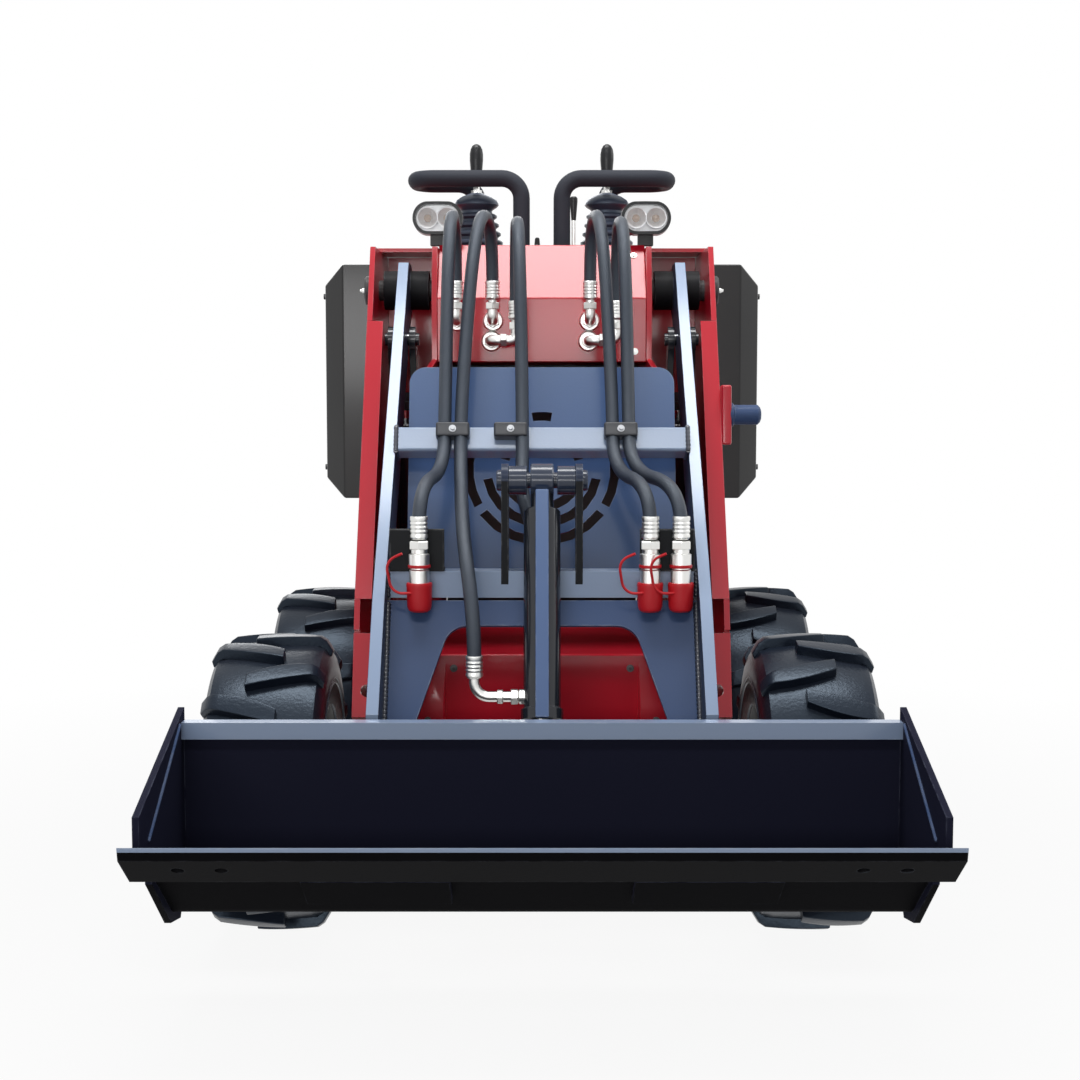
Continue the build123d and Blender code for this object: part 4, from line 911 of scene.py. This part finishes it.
# Bucket: a rolled shell between two side plates with a folded lip bar and a bolted cutting edge, in near-black enamel.
# The lip bar and a strip on the nose of the edge are coloured a light slate as a painted highlight, and the faces that
# look down a duller black as painted shade.
# A plate with ears on the back takes the arm pins and the tilt rod.
lip_z, lip_y, lip_half = 0.396, -0.768, 0.54
bead_x = 0.5465
nose_y, nose_z, highlight_strip_z = -1.0595, 0.3100, 0.3030
bucket_enamel = coated("bucket_enamel", (0.015, 0.016, 0.032), 0.50, 0.0, dust=0.01, rub=0.5, under=(0.16, 0.18, 0.24),
                       specular=0.015)
# a darker black without sheen for the bucket's downward faces, painted shade
painted_shade_black = coated("painted_shade_black", (0.0045, 0.0045, 0.0055), 0.60, 0.0, dust=0.01, rub=0.3, under=(0.10, 0.11, 0.14),
                     specular=0.005)
edge_steel = coated("edge_steel", (0.005, 0.005, 0.006), 0.50, 0.0, dust=0.01, rub=0.25, under=(0.20, 0.22, 0.26),
                    specular=0.01)
shell = eased("bucket_shell", 2.0, bucket_enamel, "bucket", "bucket_paint")
shell.data.materials.append(painted_highlight_slate)
shell.data.materials.append(painted_shade_black)
for face in shell.data.polygons:
    # the lip bar's top faces take the light slate, a painted highlight
    if face.center.z > lip_z and face.center.y > lip_y and abs(face.center.x) < lip_half:
        face.material_index = 1
    # faces that look down take the darker black, painted shade
    elif face.normal.z < -0.3:
        face.material_index = 2
side_beads = bmesh.new()
for s in sides:
    bead(side_beads, (s * bead_x, -0.775, 0.423), (s * bead_x, -0.995, 0.302), 3.0)
place("bucket_side_beads", side_beads, satin_slate, "bucket", "bucket_paint")
edge_bm = solid_copy("cutting_edge")
soften(edge_bm, [e for e in edge_bm.edges if all(v.co.y < nose_y and v.co.z > nose_z for v in e.verts)], 3.0)
# a strip along the top of the nose is split off to take the light slate, a painted highlight
bmesh.ops.bisect_plane(edge_bm, geom=edge_bm.verts[:] + edge_bm.edges[:] + edge_bm.faces[:], dist=1e-6,
                       plane_co=(0.0, 0.0, highlight_strip_z), plane_no=upward)
edge_bar = place("cutting_edge_shown", edge_bm, edge_steel, "bucket", "worn_steel", "cutting_edge")
edge_bar.data.materials.append(painted_highlight_slate)
# the strip's forward faces take the painted highlight
for face in edge_bar.data.polygons:
    if face.center.z > highlight_strip_z and face.normal.y < -0.2:
        face.material_index = 1
eased("attach_plate", 2.0, bucket_enamel, "bucket", "bucket_paint")
hinge_bm = bmesh.new()
for s in sides:
    turned(hinge_bm, both_ways([(33, 15), (34, 14), (34, 0)]), (s * arm_x, -0.675, 0.170), to_left, 28)
place("hinge_pins_shown", hinge_bm, zinc_plate, "bucket", "zinc", "hinge_pins")

# Hoses: rubber hydraulic hose in a matt woven sleeve, from the hood fittings over the top to the clamps and down.
# The upper runs and the two that go on to the tilt cylinder stay where they are drawn, on no body; three end at the
# couplers and ride on the arms.
hose_r = 0.0115
in_clamp = 0.035
clamp_x = [-0.168, -0.140, -0.034, 0.122, 0.150]
loop_top = 1.260
# the sleeve's sheen is tinted blue, a painted reflection of a blue sky
sleeve = coated("hose_sleeve", (0.022, 0.028, 0.042), 0.38, 0.0, grain=(900.0, 0.45), specular=0.6,
                painted_sky_tint=(0.8, 0.9, 1.0))


def hose(name, route, replaced, share=None):
    curve = bpy.data.curves.new(name, "CURVE")
    curve.dimensions = "3D"
    curve.resolution_u = 10
    spline = curve.splines.new("NURBS")
    spline.points.add(len(route) - 1)
    for point, spot in zip(spline.points, route):
        point.co = (*spot, 1.0)
    spline.order_u = 3
    spline.use_endpoint_u = True
    holder = bpy.data.objects.new(name + "_line", curve)
    scene.collection.objects.link(holder)
    bpy.context.view_layer.update()
    line = bpy.data.meshes.new_from_object(holder)
    bpy.data.meshes.remove(line)
    curve.bevel_depth = hose_r
    curve.bevel_resolution = 4
    curve.use_fill_caps = True
    bpy.context.view_layer.update()
    mesh = bpy.data.meshes.new_from_object(holder)
    bpy.data.objects.remove(holder)
    mesh.materials.clear()
    mesh.materials.append(sleeve)
    mesh.shade_smooth()
    piece = bpy.data.objects.new(name, mesh)
    scene.collection.objects.link(piece)
    if share:
        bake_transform(piece)
    else:
        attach(piece, "lift_arms")
    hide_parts(replaced)


for number, ((_, z0, x0, reach), x1) in enumerate(zip(ports, clamp_x)):
    y0 = hood_y - reach
    top = loop_top - reach / 2.0
    hose(f"hose_over_{number + 1}",
         [(x0, y0, z0 + 0.072), (x0, y0, top), ((x0 + x1) / 2.0, y0 - 0.150, top), on_tube(x1, 0.082, in_clamp),
          on_tube(x1, 0.0, in_clamp)],
         "hoses_upper", ("chassis", "lift_arms", (0.0, -0.17, 1.20), (0.0, -0.345, 0.90)))
for number, (x0, x1) in enumerate(zip((clamp_x[0], clamp_x[3], clamp_x[4]), coupler_xs)):
    hose(f"hose_down_{number + 1}",
         [on_tube(x0, 0.0, in_clamp), on_tube(x0, -0.064, in_clamp), (x1, coupler_y, 0.772), (x1, coupler_y, 0.700)],
         "hoses_lower")
hose("hose_tilt_1",
     [on_tube(clamp_x[1], 0.0, in_clamp), on_tube(clamp_x[1], -0.064, in_clamp), (-0.128, -0.565, 0.690),
      (-elbow_x, low_port.y, low_port.z + 0.125), (-elbow_x, low_port.y, low_port.z + 0.060)],
     "tilt_hoses", ("lift_arms", "tilt_cylinder_barrel", (0.0, -0.45, 0.80), (0.0, -0.60, 0.50)))
hose("hose_tilt_2",
     [on_tube(clamp_x[2], 0.0, in_clamp), on_tube(clamp_x[2], -0.050, in_clamp), (clamp_x[2], -0.430, 0.745),
      high_port - tilt_front * 0.108, high_port - tilt_front * 0.048],
     "tilt_hoses", ("lift_arms", "tilt_cylinder_barrel", (0.0, -0.42, 0.82), (0.0, -0.47, 0.66)))
